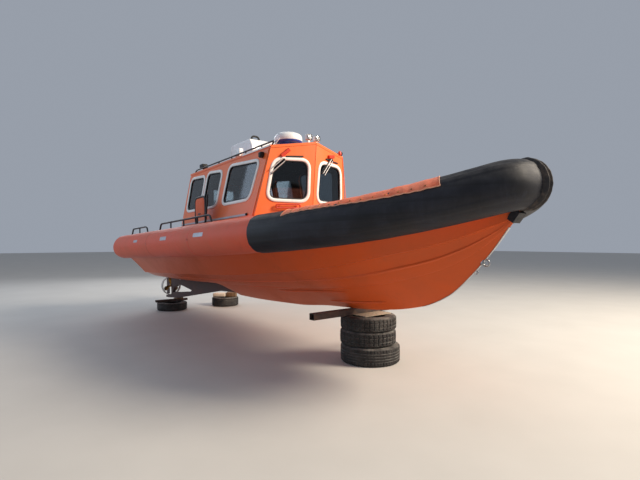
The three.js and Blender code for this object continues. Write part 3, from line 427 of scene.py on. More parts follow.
dust, ins, outs = new_group(
    "dust", [("Vector", "Vector", None), ("Colour", "Color", (0.5, 0.5, 0.5, 1)),
             ("Dust", "Color", (0.36, 0.34, 0.31, 1)), ("Amount", "Float", 0.5)],
    [("Colour", "Color", None), ("Mask", "Float", None)])
up = node(dust, "SeparateXYZ", {0: node(dust, "NewGeometry").outputs["Normal"]}).outputs[2]
settled = fade(dust, up, 0.1, 0.95)
broken = fade(dust, noise(dust, ins.outputs["Vector"], 7.0, 6.0, 0.65), 0.35, 0.7)
grey = maths(dust, "MULTIPLY", maths(dust, "MULTIPLY", settled, broken), ins.outputs["Amount"])
dust.links.new(mixed(dust, grey, ins.outputs["Colour"], ins.outputs["Dust"]), outs.inputs["Colour"])
dust.links.new(grey, outs.inputs["Mask"])
print("groups:", ", ".join(made.name for made in bpy.data.node_groups))

# %% [markdown]
# Every finish starts from one base recipe: a colour that is weathered and dusted, a roughness that follows
# the same masks, and a fine bump. A table gives each finish its values, so two paints differ by numbers and
# not by copied code. Finishes with a pattern of their own, like the collar's fabric or the tyres, add to
# the recipe.

# %% The base recipe
def hexed(text):
    """A colour as a picture shows it, #rrggbb, to the linear values that shaders use."""
    s = np.array([int(text[i:i + 2], 16) / 255 for i in (1, 3, 5)])
    linear = np.where(s < 0.04045, s / 12.92, ((s + 0.055) / 1.055) ** 2.4)
    return (*linear.tolist(), 1.0)


def finish(name, colour, worn, rough, worn_rough, scale=1.5, amount=0.5, dusty=0.3, run=0.15, scratch=0.1,
           grain=300.0, bump=0.1, bump_size=0.0006, pattern=None, **shader_values):
    """A material from the shared effects. pattern(tree, vector) may give extra height and a shade mask."""
    material = bpy.data.materials.new(name)
    material.use_nodes = True
    tree = material.node_tree
    shader = tree.nodes["Principled BSDF"]
    here = boat_space(tree)
    aged = group(tree, weathering, vector=here, colour=hexed(colour), worn=hexed(worn), scale=scale,
                 amount=amount)
    ran = maths(tree, "MULTIPLY", group(tree, runs, vector=here)["Mask"], run)
    shade = mixed(tree, ran, aged["Colour"], hexed(worn))
    lined = maths(tree, "MULTIPLY", group(tree, scratches, vector=here)["Mask"], scratch)
    shade = mixed(tree, lined, shade, hexed(worn))
    height = noise(tree, here, grain, 2.0, 0.6)
    if pattern is not None:
        relief, dark = pattern(tree, here)
        height = maths(tree, "ADD", height, relief)
        shade = mixed(tree, dark, shade, (0.0, 0.0, 0.0, 1.0))
    dusted = group(tree, dust, vector=here, colour=shade, amount=dusty)
    tree.links.new(dusted["Colour"], shader.inputs["Base Color"])
    wear = maths(tree, "ADD", maths(tree, "ADD", aged["Mask"], ran), dusted["Mask"])
    spread = node(tree, "MapRange", {"Value": wear, "From Max": 0.8, "To Min": rough, "To Max": worn_rough})
    tree.links.new(spread.outputs["Result"], shader.inputs["Roughness"])
    bumped = node(tree, "Bump", {"Strength": bump, "Distance": bump_size, "Height": height})
    tree.links.new(bumped.outputs[0], shader.inputs["Normal"])
    for key, value in shader_values.items():
        shader.inputs[key.replace("_", " ")].default_value = value
    return material


print("base recipe ready")

# %% [markdown]
# The patterns. The collar is a coated fabric: a fine square weave that just shows through its rubber.
# Canvas has a coarser one. A deck has a grit that shoes grip. The sheath over the bow is thick rubber with
# long pale bands of scuffing where it has rubbed along quays.

# %% Patterns
def weave(tree, threads, depth):
    """Crossed threads along the UV map: the larger of two waves, one each way."""
    uv = node(tree, "TexCoord").outputs["UV"]
    u, v = node(tree, "SeparateXYZ", {0: uv}).outputs[:2]
    waves = [maths(tree, "SINE", maths(tree, "MULTIPLY", side, threads * math.tau)) for side in (u, v)]
    return maths(tree, "MULTIPLY", maths(tree, "MAXIMUM", *waves), depth)


def collar_pattern(tree, here):
    """A fine weave, and a faint mottle where the coating is thin."""
    woven = weave(tree, 420.0, 0.35)
    return woven, maths(tree, "MULTIPLY", fade(tree, noise(tree, here, 9.0), 0.55, 0.8), 0.10)


def canvas_pattern(tree, here):
    """A coarse weave and soft creases."""
    creases = noise(tree, here, 5.0, 5.0, 0.7, 1.2)
    return maths(tree, "ADD", weave(tree, 260.0, 0.8), creases), maths(
        tree, "MULTIPLY", fade(tree, creases, 0.55, 0.75), 0.12)


def grit_pattern(tree, here):
    """Round grains of a non-slip coat."""
    grains = node(tree, "TexVoronoi", {"Vector": here, "Scale": 380.0}).outputs["Distance"]
    return maths(tree, "MULTIPLY", grains, 3.0), maths(tree, "MULTIPLY", fade(tree, grains, 0.4, 0.7), 0.35)


def rub_pattern(tree, here):
    """Rubber with a slight orange-peel and small nicks."""
    nicks = node(tree, "TexVoronoi", {"Vector": here, "Scale": 36.0}, feature="DISTANCE_TO_EDGE").outputs[0]
    pits = fade(tree, noise(tree, here, 70.0, 4.0, 0.7), 0.6, 0.75)
    height = maths(tree, "SUBTRACT", maths(tree, "MULTIPLY", nicks, 0.6), pits)
    return height, maths(tree, "MULTIPLY", pits, 0.25)


def sheath_pattern(tree, here):
    """The rubber's own relief, and long pale bands of scuffing that run with the sheath."""
    relief, dark = rub_pattern(tree, here)
    level = node(tree, "Mapping", {"Vector": here, "Scale": (0.25, 0.25, 9.0)}).outputs[0]
    bands = fade(tree, noise(tree, level, 3.0, 4.0, 0.6, 0.2), 0.45, 0.7)
    return relief, maths(tree, "ADD", dark, maths(tree, "MULTIPLY", bands, 0.45))


def wood_pattern(tree, here):
    """Long growth rings cut by the saw."""
    long = node(tree, "Mapping", {"Vector": here, "Scale": (0.25, 1.0, 1.0)}).outputs[0]
    rings = node(tree, "TexWave", {"Vector": long, "Scale": 26.0, "Distortion": 7.0,
                                   "Detail": 3.0}).outputs["Fac"]
    return rings, maths(tree, "MULTIPLY", rings, 0.35)


print("patterns ready")

# %% [markdown]
# Now the finishes themselves. The colours are those of the paint in open shade, a red-leaning orange, with
# a duller and browner twin for where it has weathered.

# %% Finishes
hull_paint = finish("orange_gelcoat", "#d65a27", "#bb5833", 0.35, 0.55, 0.8, 0.55, 0.1, 0.35, 0.12,
                    Specular_IOR_Level=0.2)
cabin_paint = finish("orange_cabin_paint", "#f27843", "#e07f54", 0.3, 0.5, 1.2, 0.4, 0.15, 0.25, 0.1,
                     Coat_Weight=0.06, Coat_Roughness=0.25, Specular_IOR_Level=0.3)
collar_fabric = finish("orange_collar_fabric", "#de5838", "#cb6e54", 0.45, 0.65, 0.9, 0.6, 0.18, 0.3, 0.15,
                       pattern=collar_pattern, bump=0.25, bump_size=0.0008, Specular_IOR_Level=0.3)
seam_fabric = finish("orange_seam_tape", "#d95436", "#c4674c", 0.45, 0.65, 3.0, 0.6, 0.18, 0.3, 0.2,
                     pattern=collar_pattern, bump=0.25, bump_size=0.0008, Specular_IOR_Level=0.3)
canvas = finish("orange_canvas", "#ee6a3c", "#e58a68", 0.75, 0.9, 2.5, 0.6, 0.12, 0.2, 0.05,
                pattern=canvas_pattern, bump=0.5, bump_size=0.0025, Sheen_Weight=0.15)
# pale piping colour: partly the cord's own, partly a painted highlight along the cover's hem
pale_canvas = finish("pale_hem_and_painted_highlight", "#e7a283", "#dcae98", 0.75, 0.9, 4.0, 0.5, 0.12, 0.2, 0.05,
                     pattern=canvas_pattern, bump=0.4, bump_size=0.0015)
sheath_rubber = finish("black_sheath", "#14151d", "#33353f", 0.5, 0.75, 2.2, 0.55, 0.12, 0.85, 0.55,
                       pattern=sheath_pattern, bump=0.35, bump_size=0.002, Specular_IOR_Level=0.35)
scuffed_rubber = finish("scuffed_rubber", "#2b2a2d", "#6e6156", 0.65, 0.85, 9.0, 0.6, 0.2, 0.5, 0.7,
                        pattern=rub_pattern, bump=0.5, bump_size=0.002, Specular_IOR_Level=0.35)
white_gelcoat = finish("white_gelcoat", "#e9ebee", "#c3c2bc", 0.25, 0.5, 2.0, 0.4, 0.3, 0.5, 0.1,
                       Coat_Weight=0.3, Coat_Roughness=0.15)
frame_white = finish("white_frame", "#f1f1ee", "#cfcdc6", 0.35, 0.55, 5.0, 0.35, 0.25, 0.4, 0.1)
black_paint = finish("black_bar", "#101113", "#35353a", 0.35, 0.6, 6.0, 0.4, 0.3, 0.1, 0.4)
black_trim = finish("black_trim", "#0c0c0e", "#26262a", 0.6, 0.8, 6.0, 0.4, 0.3, 0.1, 0.1)
radar_blue = finish("radar_underside", "#1d3f96", "#28509c", 0.3, 0.5, 5.0, 0.3, 0.1, 0.1, 0.1)
steel = finish("stainless", "#a9aaab", "#7d7b78", 0.22, 0.5, 8.0, 0.5, 0.2, 0.3, 0.4, Metallic=1.0)
# pale grey steel; on the guard ring this pale colour is partly a painted reflection of its bright rim
old_steel = finish("pale_steel", "#c9c5bd", "#8d7d70", 0.45, 0.8, 9.0, 0.5, 0.15, 0.5, 0.5,
                   Metallic=0.2)
bronze = finish("propeller_bronze", "#a9793a", "#5d5138", 0.28, 0.6, 14.0, 0.7, 0.1, 0.2, 0.5, Metallic=1.0)
# dark brown for the skeg and rudder: painted shade, the colour of the shaded underside of the hull
underside_shade_paint = finish("skeg_painted_shade", "#4b3733", "#66504a", 0.65, 0.85, 4.0, 0.7, 0.3, 0.5, 0.4)
rusty_beam = finish("rusty_beam", "#473a37", "#6d5648", 0.75, 0.95, 9.0, 0.8, 0.4, 0.5, 0.3,
                    grain=120.0, bump=0.6, bump_size=0.002)
rough_wood = finish("sawn_wood", "#8a6a4a", "#5c4b3c", 0.75, 0.9, 6.0, 0.5, 0.3, 0.3, 0.1,
                    pattern=wood_pattern, bump=0.5, bump_size=0.0015)
cream_pad = finish("cream_pad", "#e6d8c4", "#c2b29c", 0.75, 0.9, 6.0, 0.5, 0.2, 0.3, 0.3, bump=0.4,
                   bump_size=0.002)
pale_wood = finish("pale_board", "#b9a992", "#8d7f6c", 0.7, 0.9, 6.0, 0.5, 0.3, 0.3, 0.2,
                   pattern=wood_pattern, bump=0.4, bump_size=0.001)
non_slip = finish("non_slip_deck", "#6d7075", "#8a8a88", 0.8, 0.95, 2.5, 0.5, 0.5, 0.1, 0.1,
                  pattern=grit_pattern, bump=0.6, bump_size=0.0015)
lining = finish("dark_lining", "#1b1c20", "#2a2b30", 0.8, 0.9, 3.0, 0.4, 0.1, 0.0, 0.0, bump=0.3,
                bump_size=0.001)
dash_plastic = finish("dash_plastic", "#26272b", "#3a3b3f", 0.55, 0.7, 6.0, 0.4, 0.4, 0.0, 0.2, grain=600.0,
                      bump=0.4, bump_size=0.0008)
vinyl = finish("seat_vinyl", "#2d2f34", "#414348", 0.5, 0.7, 5.0, 0.5, 0.2, 0.0, 0.1, grain=450.0,
               bump=0.35, bump_size=0.0008)
engine_paint = finish("engine_paint", "#5b6a72", "#3b4146", 0.4, 0.7, 6.0, 0.6, 0.4, 0.3, 0.3)
silver_patch = finish("silver_patch", "#b9bcc4", "#8f929a", 0.3, 0.5, 30.0, 0.5, 0.2, 0.3, 0.4,
                      Metallic=0.3)
# pale, hardly metallic colour; on the stem band this paleness is a painted reflection of sunlit steel
bright_metal = finish("pale_metal_and_painted_reflection", "#d2d1cf", "#a3a19d", 0.35, 0.55, 14.0, 0.5, 0.1, 0.3, 0.4,
                      Metallic=0.3)
light_grey = finish("light_grey_plastic", "#b9bcc2", "#9a9ca1", 0.5, 0.7, 5.0, 0.4, 0.2, 0.3, 0.2)
red_plastic = finish("red_plastic", "#d0341a", "#b03c26", 0.35, 0.55, 8.0, 0.4, 0.2, 0.2, 0.2)
print(len(bpy.data.materials), "materials")

# %% [markdown]
# ## Glass and lamps
#
# Window glass is a thin solid pane: fully transmitting, smooth, faintly grey-green. Rain marks would be
# geometry or roughness, so only its roughness varies, with very soft noise. A lamp lens is the same without
# the tint.

# %% Glass
def glass(name, tint, smear=0.06):
    """Clear glass with a faint smear in its roughness."""
    material = bpy.data.materials.new(name)
    material.use_nodes = True
    tree = material.node_tree
    shader = tree.nodes["Principled BSDF"]
    smeared = noise(tree, boat_space(tree, (1, 1, 0.3)), 6.0, 4.0)
    soft = node(tree, "MapRange", {"Value": smeared, "To Min": 0.01, "To Max": smear})
    tree.links.new(soft.outputs["Result"], shader.inputs["Roughness"])
    shader.inputs["Base Color"].default_value = hexed(tint)
    shader.inputs["Transmission Weight"].default_value = 1.0
    shader.inputs["IOR"].default_value = 1.45
    return material


window_glass = glass("window_glass", "#8f9aa0")
lamp_glass = glass("lamp_glass", "#f2f4f5", 0.15)
print("glass ready")

# %% [markdown]
# ## The hull
#
# The hull is a shell of a few smooth lines: keel, the step of a spray strake, the chine where bottom meets
# side, and the deck edge. A boatbuilder draws sections at stations and lets battens run through them. Here
# the table of stations is the frame's own, and a monotone cubic is the batten: it passes through every
# station and never swings past one, which a plain spline would do at the steps.

# %% Battens through the stations
def smooth_through(x, xs, ys):
    """Values at x of a monotone cubic through (xs, ys). The slope at a station is the harmonic mean of the
    slopes on its two sides, and zero where they change sign."""
    xs, ys = np.asarray(xs, float), np.asarray(ys, float)
    step = np.diff(xs)
    rise = np.diff(ys, axis=0) / step.reshape(-1, *[1] * (ys.ndim - 1))
    before, after = rise[:-1], rise[1:]
    same = before * after > 0
    mean = np.where(same, 2 * before * after / np.where(same, before + after, 1), 0)
    slope = np.concatenate([rise[:1], mean, rise[-1:]])
    i = np.clip(np.searchsorted(xs, x, side="right") - 1, 0, len(xs) - 2)
    shape = (-1, *[1] * (ys.ndim - 1))
    h = step[i].reshape(shape)
    t = ((x - xs[i]) / step[i]).reshape(shape)
    return ((2 * t ** 3 - 3 * t ** 2 + 1) * ys[i] + (t ** 3 - 2 * t ** 2 + t) * h * slope[i]
            + (3 * t ** 2 - 2 * t ** 3) * ys[i + 1] + (t ** 3 - t ** 2) * h * slope[i + 1])


# x, keel z, strake y, strake z, chine y, chine z, side y, side z, inner y, coaming z, deck z, in
# millimetres
STATIONS = np.array([
    [-5450, 250, 330, 262, 560, 350, 930, 700, 800, 850, 620],
    [-4600, 215, 345, 236, 590, 352, 930, 700, 800, 850, 620],
    [-3600, 180, 350, 218, 610, 356, 930, 700, 800, 850, 620],
    [-2900, 165, 350, 212, 620, 362, 930, 700, 800, 850, 620],
    [-2650, 5, 350, 209, 622, 364, 930, 700, 800, 850, 620],
    [-1600, -28, 350, 210, 625, 378, 930, 700, 800, 850, 620],
    [-1060, -30, 345, 222, 622, 402, 920, 715, 790, 880, 620],
    [-1040, -30, 345, 222, 622, 403, 920, 716, 790, 905, 900],
    [-400, 2, 330, 240, 610, 440, 890, 760, 760, 915, 900],
    [100, 4, 310, 262, 580, 478, 830, 800, 700, 930, 900],
    [550, 32, 280, 300, 520, 542, 750, 850, 600, 960, 900],
    [950, 96, 235, 372, 430, 612, 640, 890, 480, 1000, 910],
    [1250, 215, 170, 450, 326, 668, 500, 930, 330, 1040, 930],
    [1500, 415, 100, 560, 212, 735, 340, 960, 190, 1080, 960],
    [1700, 620, 50, 690, 116, 805, 200, 990, 100, 1110, 1000],
    [1860, 815, 20, 830, 36, 870, 80, 1000, 40, 1130, 1040],
    [1948, 925, 10, 931, 16, 938, 60, 1000, 20, 1060, 1040]]) / 1000
STATION_X = STATIONS[:, 0]


def hull_line(x, column):
    """One column of the table at any x."""
    return smooth_through(np.asarray(x, float), STATION_X, STATIONS[:, column])


def hull_bottom(x, share):
    """A point of the starboard bottom: share 0 is the keel, 1 the strake, 2 the chine, 3 the deck edge."""
    x = np.asarray(x, float)
    y = np.stack([0 * x, hull_line(x, 2), hull_line(x, 4), hull_line(x, 6)])
    z = np.stack([hull_line(x, 1), hull_line(x, 3), hull_line(x, 5), hull_line(x, 7)])
    i = min(int(share), 2)
    t = share - i
    return np.stack([x, -(y[i] * (1 - t) + y[i + 1] * t), z[i] * (1 - t) + z[i + 1] * t], -1)


print("keel at the bow:", hull_line([1.2, 1.6, 1.9], 1).round(3))

# %% [markdown]
# The skin's columns run from one deck edge round the keel to the other, and back across the deck, so each
# row is a closed ring. Narrow columns beside the keel, strake and chine keep those lines crisp under smooth
# shading. The well of the wheelhouse, the engine bay and the room for the collar are cut out with boolean
# modifiers, which are applied at once.

# %% The hull's skin
def hull_ring(x):
    """Rows of closed rings (len(x), columns, 3)."""
    keel, sy, sz, cy, cz, ty, tz, iy, iz, deck = (hull_line(x, k) for k in range(1, 11))
    lip = np.minimum(np.interp(x, [0.0, 1.0], [0.022, 0.006]), sy * 0.5)
    chine = np.minimum(0.034, cy * 0.4)
    blend = lambda a, b, t: a * (1 - t) + b * t
    half = [(0 * x, keel)]
    for t in (0.06, 0.3, 0.55, 0.8, 0.985):
        half.append((sy * t, blend(keel, sz, t) - 0.004 * math.sin(math.pi * t)))
    half += [(sy, sz), (sy + lip, sz + 0.002)]
    for t in (0.05, 0.35, 0.65, 0.95):
        half.append((blend(sy + lip, cy, t), blend(sz, cz, t) - 0.004 * math.sin(math.pi * t)))
    half += [(cy, cz - 0.003), (cy + chine, cz - 0.002)]
    for t in (0.04, 0.25, 0.5, 0.75):
        half.append((blend(cy + chine, ty, t), blend(cz, tz, t) + 0.012 * math.sin(math.pi * t)))
    half += [(ty, tz), (ty - 0.02, iz - 0.006), (ty - 0.028, iz), (iy + 0.006, iz), (iy, iz - 0.006),
             (iy - 0.004, deck)]
    y = np.stack([a for a, _ in half], -1)
    z = np.stack([b for _, b in half], -1)
    ring_y = np.concatenate([y, -y[:, :0:-1], y[:, :1]], 1)
    ring_z = np.concatenate([z, z[:, :0:-1], z[:, :1]], 1)
    return np.stack([np.broadcast_to(x[:, None], ring_y.shape), ring_y, ring_z], -1)


def applied(thing):
    """Bakes a thing's modifiers into its mesh."""
    bpy.context.view_layer.update()
    made = bpy.data.meshes.new_from_object(thing.evaluated_get(bpy.context.evaluated_depsgraph_get()))
    thing.modifiers.clear()
    thing.data = made
    return thing


def carved(thing, *forms, place=on_boat):
    """Takes closed forms away from a thing."""
    for form in forms:
        mesh = bpy.data.meshes.new("cutter")
        mesh.from_pydata(place(form[0]).tolist(), [], form[1].tolist() + form[2])
        merged(mesh)
        tool = linked("cutter", mesh)
        modifier(thing, "BOOLEAN", operation="DIFFERENCE", solver="EXACT", object=tool)
        applied(thing)
        bpy.data.objects.remove(tool)
        bpy.data.meshes.remove(mesh)
    return thing


rows = np.unique(np.concatenate([np.linspace(-5.45, -2.9, 12), np.linspace(-2.9, -2.65, 8),
                                 np.linspace(-2.65, -1.06, 10), np.linspace(-1.04, 1.0, 30),
                                 np.linspace(1.0, 1.948, 36)]))
hull = piece("hull_shell", grid(hull_ring(rows), caps=True), hull_paint, replaces=["hull"],
             crease=22)

# %% [markdown]
# The wheelhouse's well and the engine bay go down through the deck, and the collar lies in a hollow along
# each side. The cutters are plain blocks and a slightly swollen copy of the collar, so the skin ends just
# under it.

# %% The collar's line
TUBE_HALF = 1.040  # from the middle plane to the tube's centre, amidships
TUBE_Z = 0.852  # the centre's height along the sides
TUBE_R = 0.214  # the tube's radius along the sides
NOSE_TUBE_R = 0.200  # its radius at the nose, where it is thinnest
JOINT_X = -0.72  # where the side chambers meet the bow chamber
GIRTH_R = 0.21  # a middling radius that turns a length round the tube into an angle


def collar_at(x):
    """The starboard tube's centre and radius. From x = -1.6 to 2.03 its half width closes like
    (1 - u^2.2)^0.74, and its height climbs with the power 5.2 of the distance from x = -3."""
    x = np.asarray(x, float)
    u = np.clip((x + 1.6) / 3.63, 0, 1)
    swell = np.clip((x + 1.8) / 2.0, 0, 1)
    height = TUBE_Z + 0.296 * (np.maximum(0, x + 3.0) / 4.95) ** 5.2
    centre = np.stack([x, -TUBE_HALF * (1 - u ** 2.2) ** 0.74, height], -1)
    return centre, TUBE_R - 0.014 * swell ** 2 * (3 - 2 * swell)


NOSE_START = 1.87
start = collar_at([NOSE_START, NOSE_START + 0.001])[0]
heading = math.atan((start[1, 1] - start[0, 1]) / 0.001)
NOSE_R = -start[0, 1] / math.cos(heading)


def round_the_bow(aft, step=0.03):
    """The centreline from x = aft on the starboard side, round the nose, to x = aft on the port side."""
    x = NOSE_START - (NOSE_START - aft) * (1 - np.linspace(0, 1, int((NOSE_START - aft) / step))) ** 1.25
    a = np.linspace(heading, np.pi / 2, 12)[1:]
    turn_x = NOSE_START - NOSE_R * math.sin(heading) + NOSE_R * np.sin(a)
    turn = np.stack([turn_x, -NOSE_R * np.cos(a), collar_at(turn_x)[0][:, 2]], -1)
    half = np.concatenate([collar_at(x)[0], turn])
    return np.concatenate([half, half[-2::-1] * [1, -1, 1]])


def tube(path, extra=0.0, sides=48):
    """The collar's round skin along a path, grown by extra."""
    radius = collar_at(path[:, 0])[1] + extra
    return grid(sweep(path, radius[:, None, None] * loop(1.0, sides)), caps=True)


bow_line = round_the_bow(JOINT_X)
aft_line = collar_at(np.linspace(-5.79, JOINT_X, 60))[0]
print("bow line points:", len(bow_line), "nose centre:", bow_line[len(bow_line) // 2].round(3))

# %% Hollows in the hull
carved(hull,
       tube(np.concatenate([aft_line[:-1:3], round_the_bow(-0.6, 0.12), aft_line[-2::-3] * [1, -1, 1]]),
            -0.004, 32),
       block((-3.05, -0.42, 0.35), (-1.08, 0.42, 1.2), 0.01),
       block((-4.90, -0.38, 0.34), (-3.95, 0.38, 1.2), 0.01))
hull.data.shade_smooth()
hull.data.set_sharp_from_angle(angle=math.radians(22))
print("carved hull:", len(hull.data.polygons), "faces")

# %% [markdown]
# Under water the skin carries spray rails: low wedges that throw water off. Three short ones lie on the
# bottom from amidships forward, and a long one runs half way between strake and chine. The casing round the
# engine is a low box on the deck with brackets for the lid's hinge.

# %% Spray rails and casing
def on_bottom(share, x0, x1, width, depth, steps=40):
    """A low wedge along the starboard bottom, fading out at both ends: a sweep of a triangle whose size
    follows the fourth root of a hump."""
    x = np.linspace(x0, x1, steps)
    path = hull_bottom(x, share)
    k = np.linspace(0, 1, steps)
    size = np.clip(4 * k * (1 - k), 0.0025, 1) ** 0.35
    wedge = np.array([[-0.5, 0.35], [0.0, -1.0], [0.5, -0.25], [0.5, 0.45], [-0.5, 0.35]]) * [width, depth]
    return grid(sweep(path, size[:, None, None] * wedge), caps=True)


def both(form):
    """A form and its mirror image."""
    return join(form, mirrored(form))


piece("spray_rails", both(join(on_bottom(1.0, -2.0, -0.54, 0.05, 0.022),
                               on_bottom(0.8, -1.15, 0.15, 0.045, 0.022),
                               on_bottom(0.32, -0.31, 0.58, 0.045, 0.022))), hull_paint)
piece("spray_line", both(on_bottom(1.46, -4.8, 1.86, 0.046, 0.024, 90)), hull_paint)
hinge_blocks = [block((-3.9, y, 0.82), (-3.86, y + 0.02, 0.890), 0.003)
                for y in (-0.324, -0.216, 0.196, 0.304)]
hinge_pins = [bar([(-3.868, y - 0.022, 0.884), (-3.868, y + 0.102, 0.884)], 0.006, up=(1, 0, 0))
              for y in (-0.300, 0.220)]
casing_walls = [((-4.96, -0.44), (-4.90, 0.44)), ((-3.95, -0.44), (-3.89, 0.44)),
                ((-4.91, -0.44), (-3.94, -0.38)), ((-4.91, 0.38), (-3.94, 0.44))]
piece("engine_casing", join(*[block((*low, 0.58), (*high, 0.86), 0.008) for low, high in casing_walls]),
      hull_paint)
piece("lid_hinge", join(*hinge_blocks, *hinge_pins), steel)

# %% [markdown]
# ## The collar
#
# The collar is an inflated tube of coated fabric. Its end is gathered into a nearly upright face with a
# round black cap. The end is worked out from two planes: for each point of the tube's rim, x stops where
# the nearer plane is, and the face inside the rim follows the same planes. Tape covers the joints between
# lengths.

# %% Aft tubes
CAP_POINT = np.array([-5.225, -TUBE_HALF, 0.872])
CAP_SLOPE = math.radians(8)
TUCK_POINT = np.array([-5.262, -TUBE_HALF, 0.732])
TUCK_SLOPE = math.radians(38)


def end_x(z):
    """Where the tube ends at height z: the further forward of the cap's plane and the tuck, blended."""
    upper = CAP_POINT[0] + math.tan(CAP_SLOPE) * (z - CAP_POINT[2])
    lower = TUCK_POINT[0] - math.tan(TUCK_SLOPE) * (z - TUCK_POINT[2])
    return np.logaddexp(upper * 90, lower * 90) / 90


def aft_tube(sides=56):
    """The starboard tube from its end face to the joint: rings that grow from the middle of the end face,
    round its edge, and run forward."""
    ring = loop(1.0, sides)
    rows = []
    for share in (0.001, 0.3, 0.6, 0.8, 0.90, 0.945, 0.975, 0.992, 1.0):
        y = -TUBE_HALF - ring[:, 0] * share * TUBE_R
        z = TUBE_Z + ring[:, 1] * share * TUBE_R
        edge = 0.0 if share < 0.9 else 0.030 * (1 - math.sqrt(1 - ((share - 0.9) / 0.1) ** 2))
        rows.append(np.stack([end_x(z) + edge, y, z], -1))
    rim = rows[-1]
    x = np.linspace(-4.95, JOINT_X, 45)
    centre, radius = collar_at(x)
    body = sweep(centre, radius[:, None, None] * ring)
    first = body[0]
    between = [rim * (1 - t) + np.stack([first[:, 0], rim[:, 1], rim[:, 2]], -1) * t for t in (0.15, 0.5)]
    return grid(np.concatenate([np.array(rows + between), body]))


starboard_tube = aft_tube()
piece("collar_starboard", starboard_tube, collar_fabric, replaces=["tube_starboard"])
piece("collar_port", mirrored(starboard_tube), collar_fabric, replaces=["tube_port"])
piece("collar_bow", tube(bow_line), collar_fabric, replaces=["tube_bow"])

# %% [markdown]
# Seam tapes are thin bands, little over a millimetre proud with soft edges, wrapped round the tube where
# lengths meet. Low silver patches, longer than they are high, mark old repairs on the outside.

# %% Tapes and patches
def tape(x, width):
    """A band round the starboard tube at x: the tube's own sweep, a little larger, with tapering edges."""
    xs = x + np.array([-0.5, -0.47, 0.47, 0.5]) * width
    centre, radius = collar_at(xs)
    a = np.radians(np.linspace(0, 360, 61))
    ring = np.stack([np.cos(a), np.sin(a)], -1)
    outer = sweep(centre, (radius + [0.0002, 0.0014, 0.0014, 0.0002])[:, None, None] * ring)
    inner = sweep(centre, (radius - 0.002)[:, None, None] * ring)
    return shell(outer, inner)


def shell(outer, inner):
    """Two matching grids joined at their rims into one closed skin."""
    rims = [(outer[0], inner[0]), (outer[-1], inner[-1]), (outer[:, 0], inner[:, 0]),
            (outer[:, -1], inner[:, -1])]
    return join(grid(outer), grid(inner), *[grid(np.stack(rim)) for rim in rims])


def patch_on_tube(x, degrees, size, lift=0.003):
    """A small patch with round corners on the starboard tube, of a given size along and across."""
    s, t = np.meshgrid(np.linspace(-1, 1, 13), np.linspace(-1, 1, 13), indexing="ij")
    squeeze = np.sqrt(1 - 0.08 * t ** 2 * s ** 2)
    xs = x + 0.5 * size[0] * s * squeeze
    centre, radius = collar_at(xs)
    a = math.radians(degrees) + 0.5 * size[1] * t * squeeze / GIRTH_R
    def on(r):
        return centre + np.stack([0 * xs, -(radius + r) * np.cos(a), (radius + r) * np.sin(a)], -1)
    return shell(on(lift * (1 - 0.5 * np.maximum(s ** 8, t ** 8))), on(-0.002))


piece("seam_tapes", both(join(tape(-1.753, 0.045), tape(-3.35, 0.045))), seam_fabric)
piece("silver_patches", both(join(patch_on_tube(-1.44, 13, (0.27, 0.052)),
                                  patch_on_tube(-2.62, 14, (0.24, 0.054)),
                                  patch_on_tube(-3.90, 16, (0.19, 0.042)))), silver_patch)

# %% [markdown]
# The end caps are moulded plastic discs with a raised rim. Each is a lathe, turned to the end face.

# %% End caps
CAP_TILT = rotation(math.degrees(CAP_SLOPE) - 90, "Y")
cap_profile = [(0.0, 0.020), (0.06, 0.021), (0.115, 0.017), (0.120, 0.024), (0.138, 0.024), (0.147, 0.019),
               (0.150, 0.010), (0.150, -0.006), (0.0, -0.006)]
for side, sign in (("starboard", -1), ("port", 1)):
    centre = CAP_POINT * [1, -sign, 1] + CAP_TILT @ [0, 0, 0.0065]
    piece(f"end_cap_{side}", lathe(cap_profile, 48, CAP_TILT, centre), black_paint,
          replaces=[f"tube_cap_{side}"])

# %% [markdown]
# ## The black sheath
#
# A thick rubber sheath wraps the collar round the whole bow. It shows slight steps where its panels
# overlap, and its aft corners are cut round. It is a sheet over the tube from under the hull (-90 degrees,
# and further in under the nose) over the outside to past the top (144 degrees), 8 mm thick. Rounded corners
# come from letting each row start further forward near the sheet's edges.

# %% Sheath
SHEATH = 0.008
SHEATH_AFT = -0.40
sheath_line = round_the_bow(SHEATH_AFT, 0.022)


def wrapped(path, low, high, thick, columns=61, corner=0.0, relief=None):
    """A sheet on the collar along a path that runs round the bow. low and high are angles in degrees,
    numbers or one for each point. Within `corner` of either end the sheet narrows along a quarter
    circle."""
    length = np.append(0, np.linalg.norm(np.diff(path, axis=0), axis=1).cumsum())
    low, high = (np.broadcast_to(v, len(path)).astype(float) for v in (low, high))
    if corner:
        near = np.clip(1 - np.minimum(length, length[-1] - length) / corner, 0, 1)
        pull = math.degrees(corner / GIRTH_R) * (1 - np.sqrt(1 - 0.999 * near ** 2))
        low, high = low + pull, high - pull
    a = np.radians(low[:, None] + (high - low)[:, None] * np.linspace(0, 1, columns))
    radius = collar_at(path[:, 0])[1][:, None]
    bulge = 0 if relief is None else relief(length[:, None], np.degrees(a))
    t = np.linspace(0, 1, columns)
    edge = 1 - 0.6 * np.maximum(np.clip(1 - t / 0.02, 0, 1), np.clip(1 - (1 - t) / 0.02, 0, 1))
    def skin(r):
        return sweep(path, np.stack([r * np.cos(a), r * np.sin(a)], -1))
    return shell(skin(radius + thick * edge + bulge), skin(radius - 0.001))


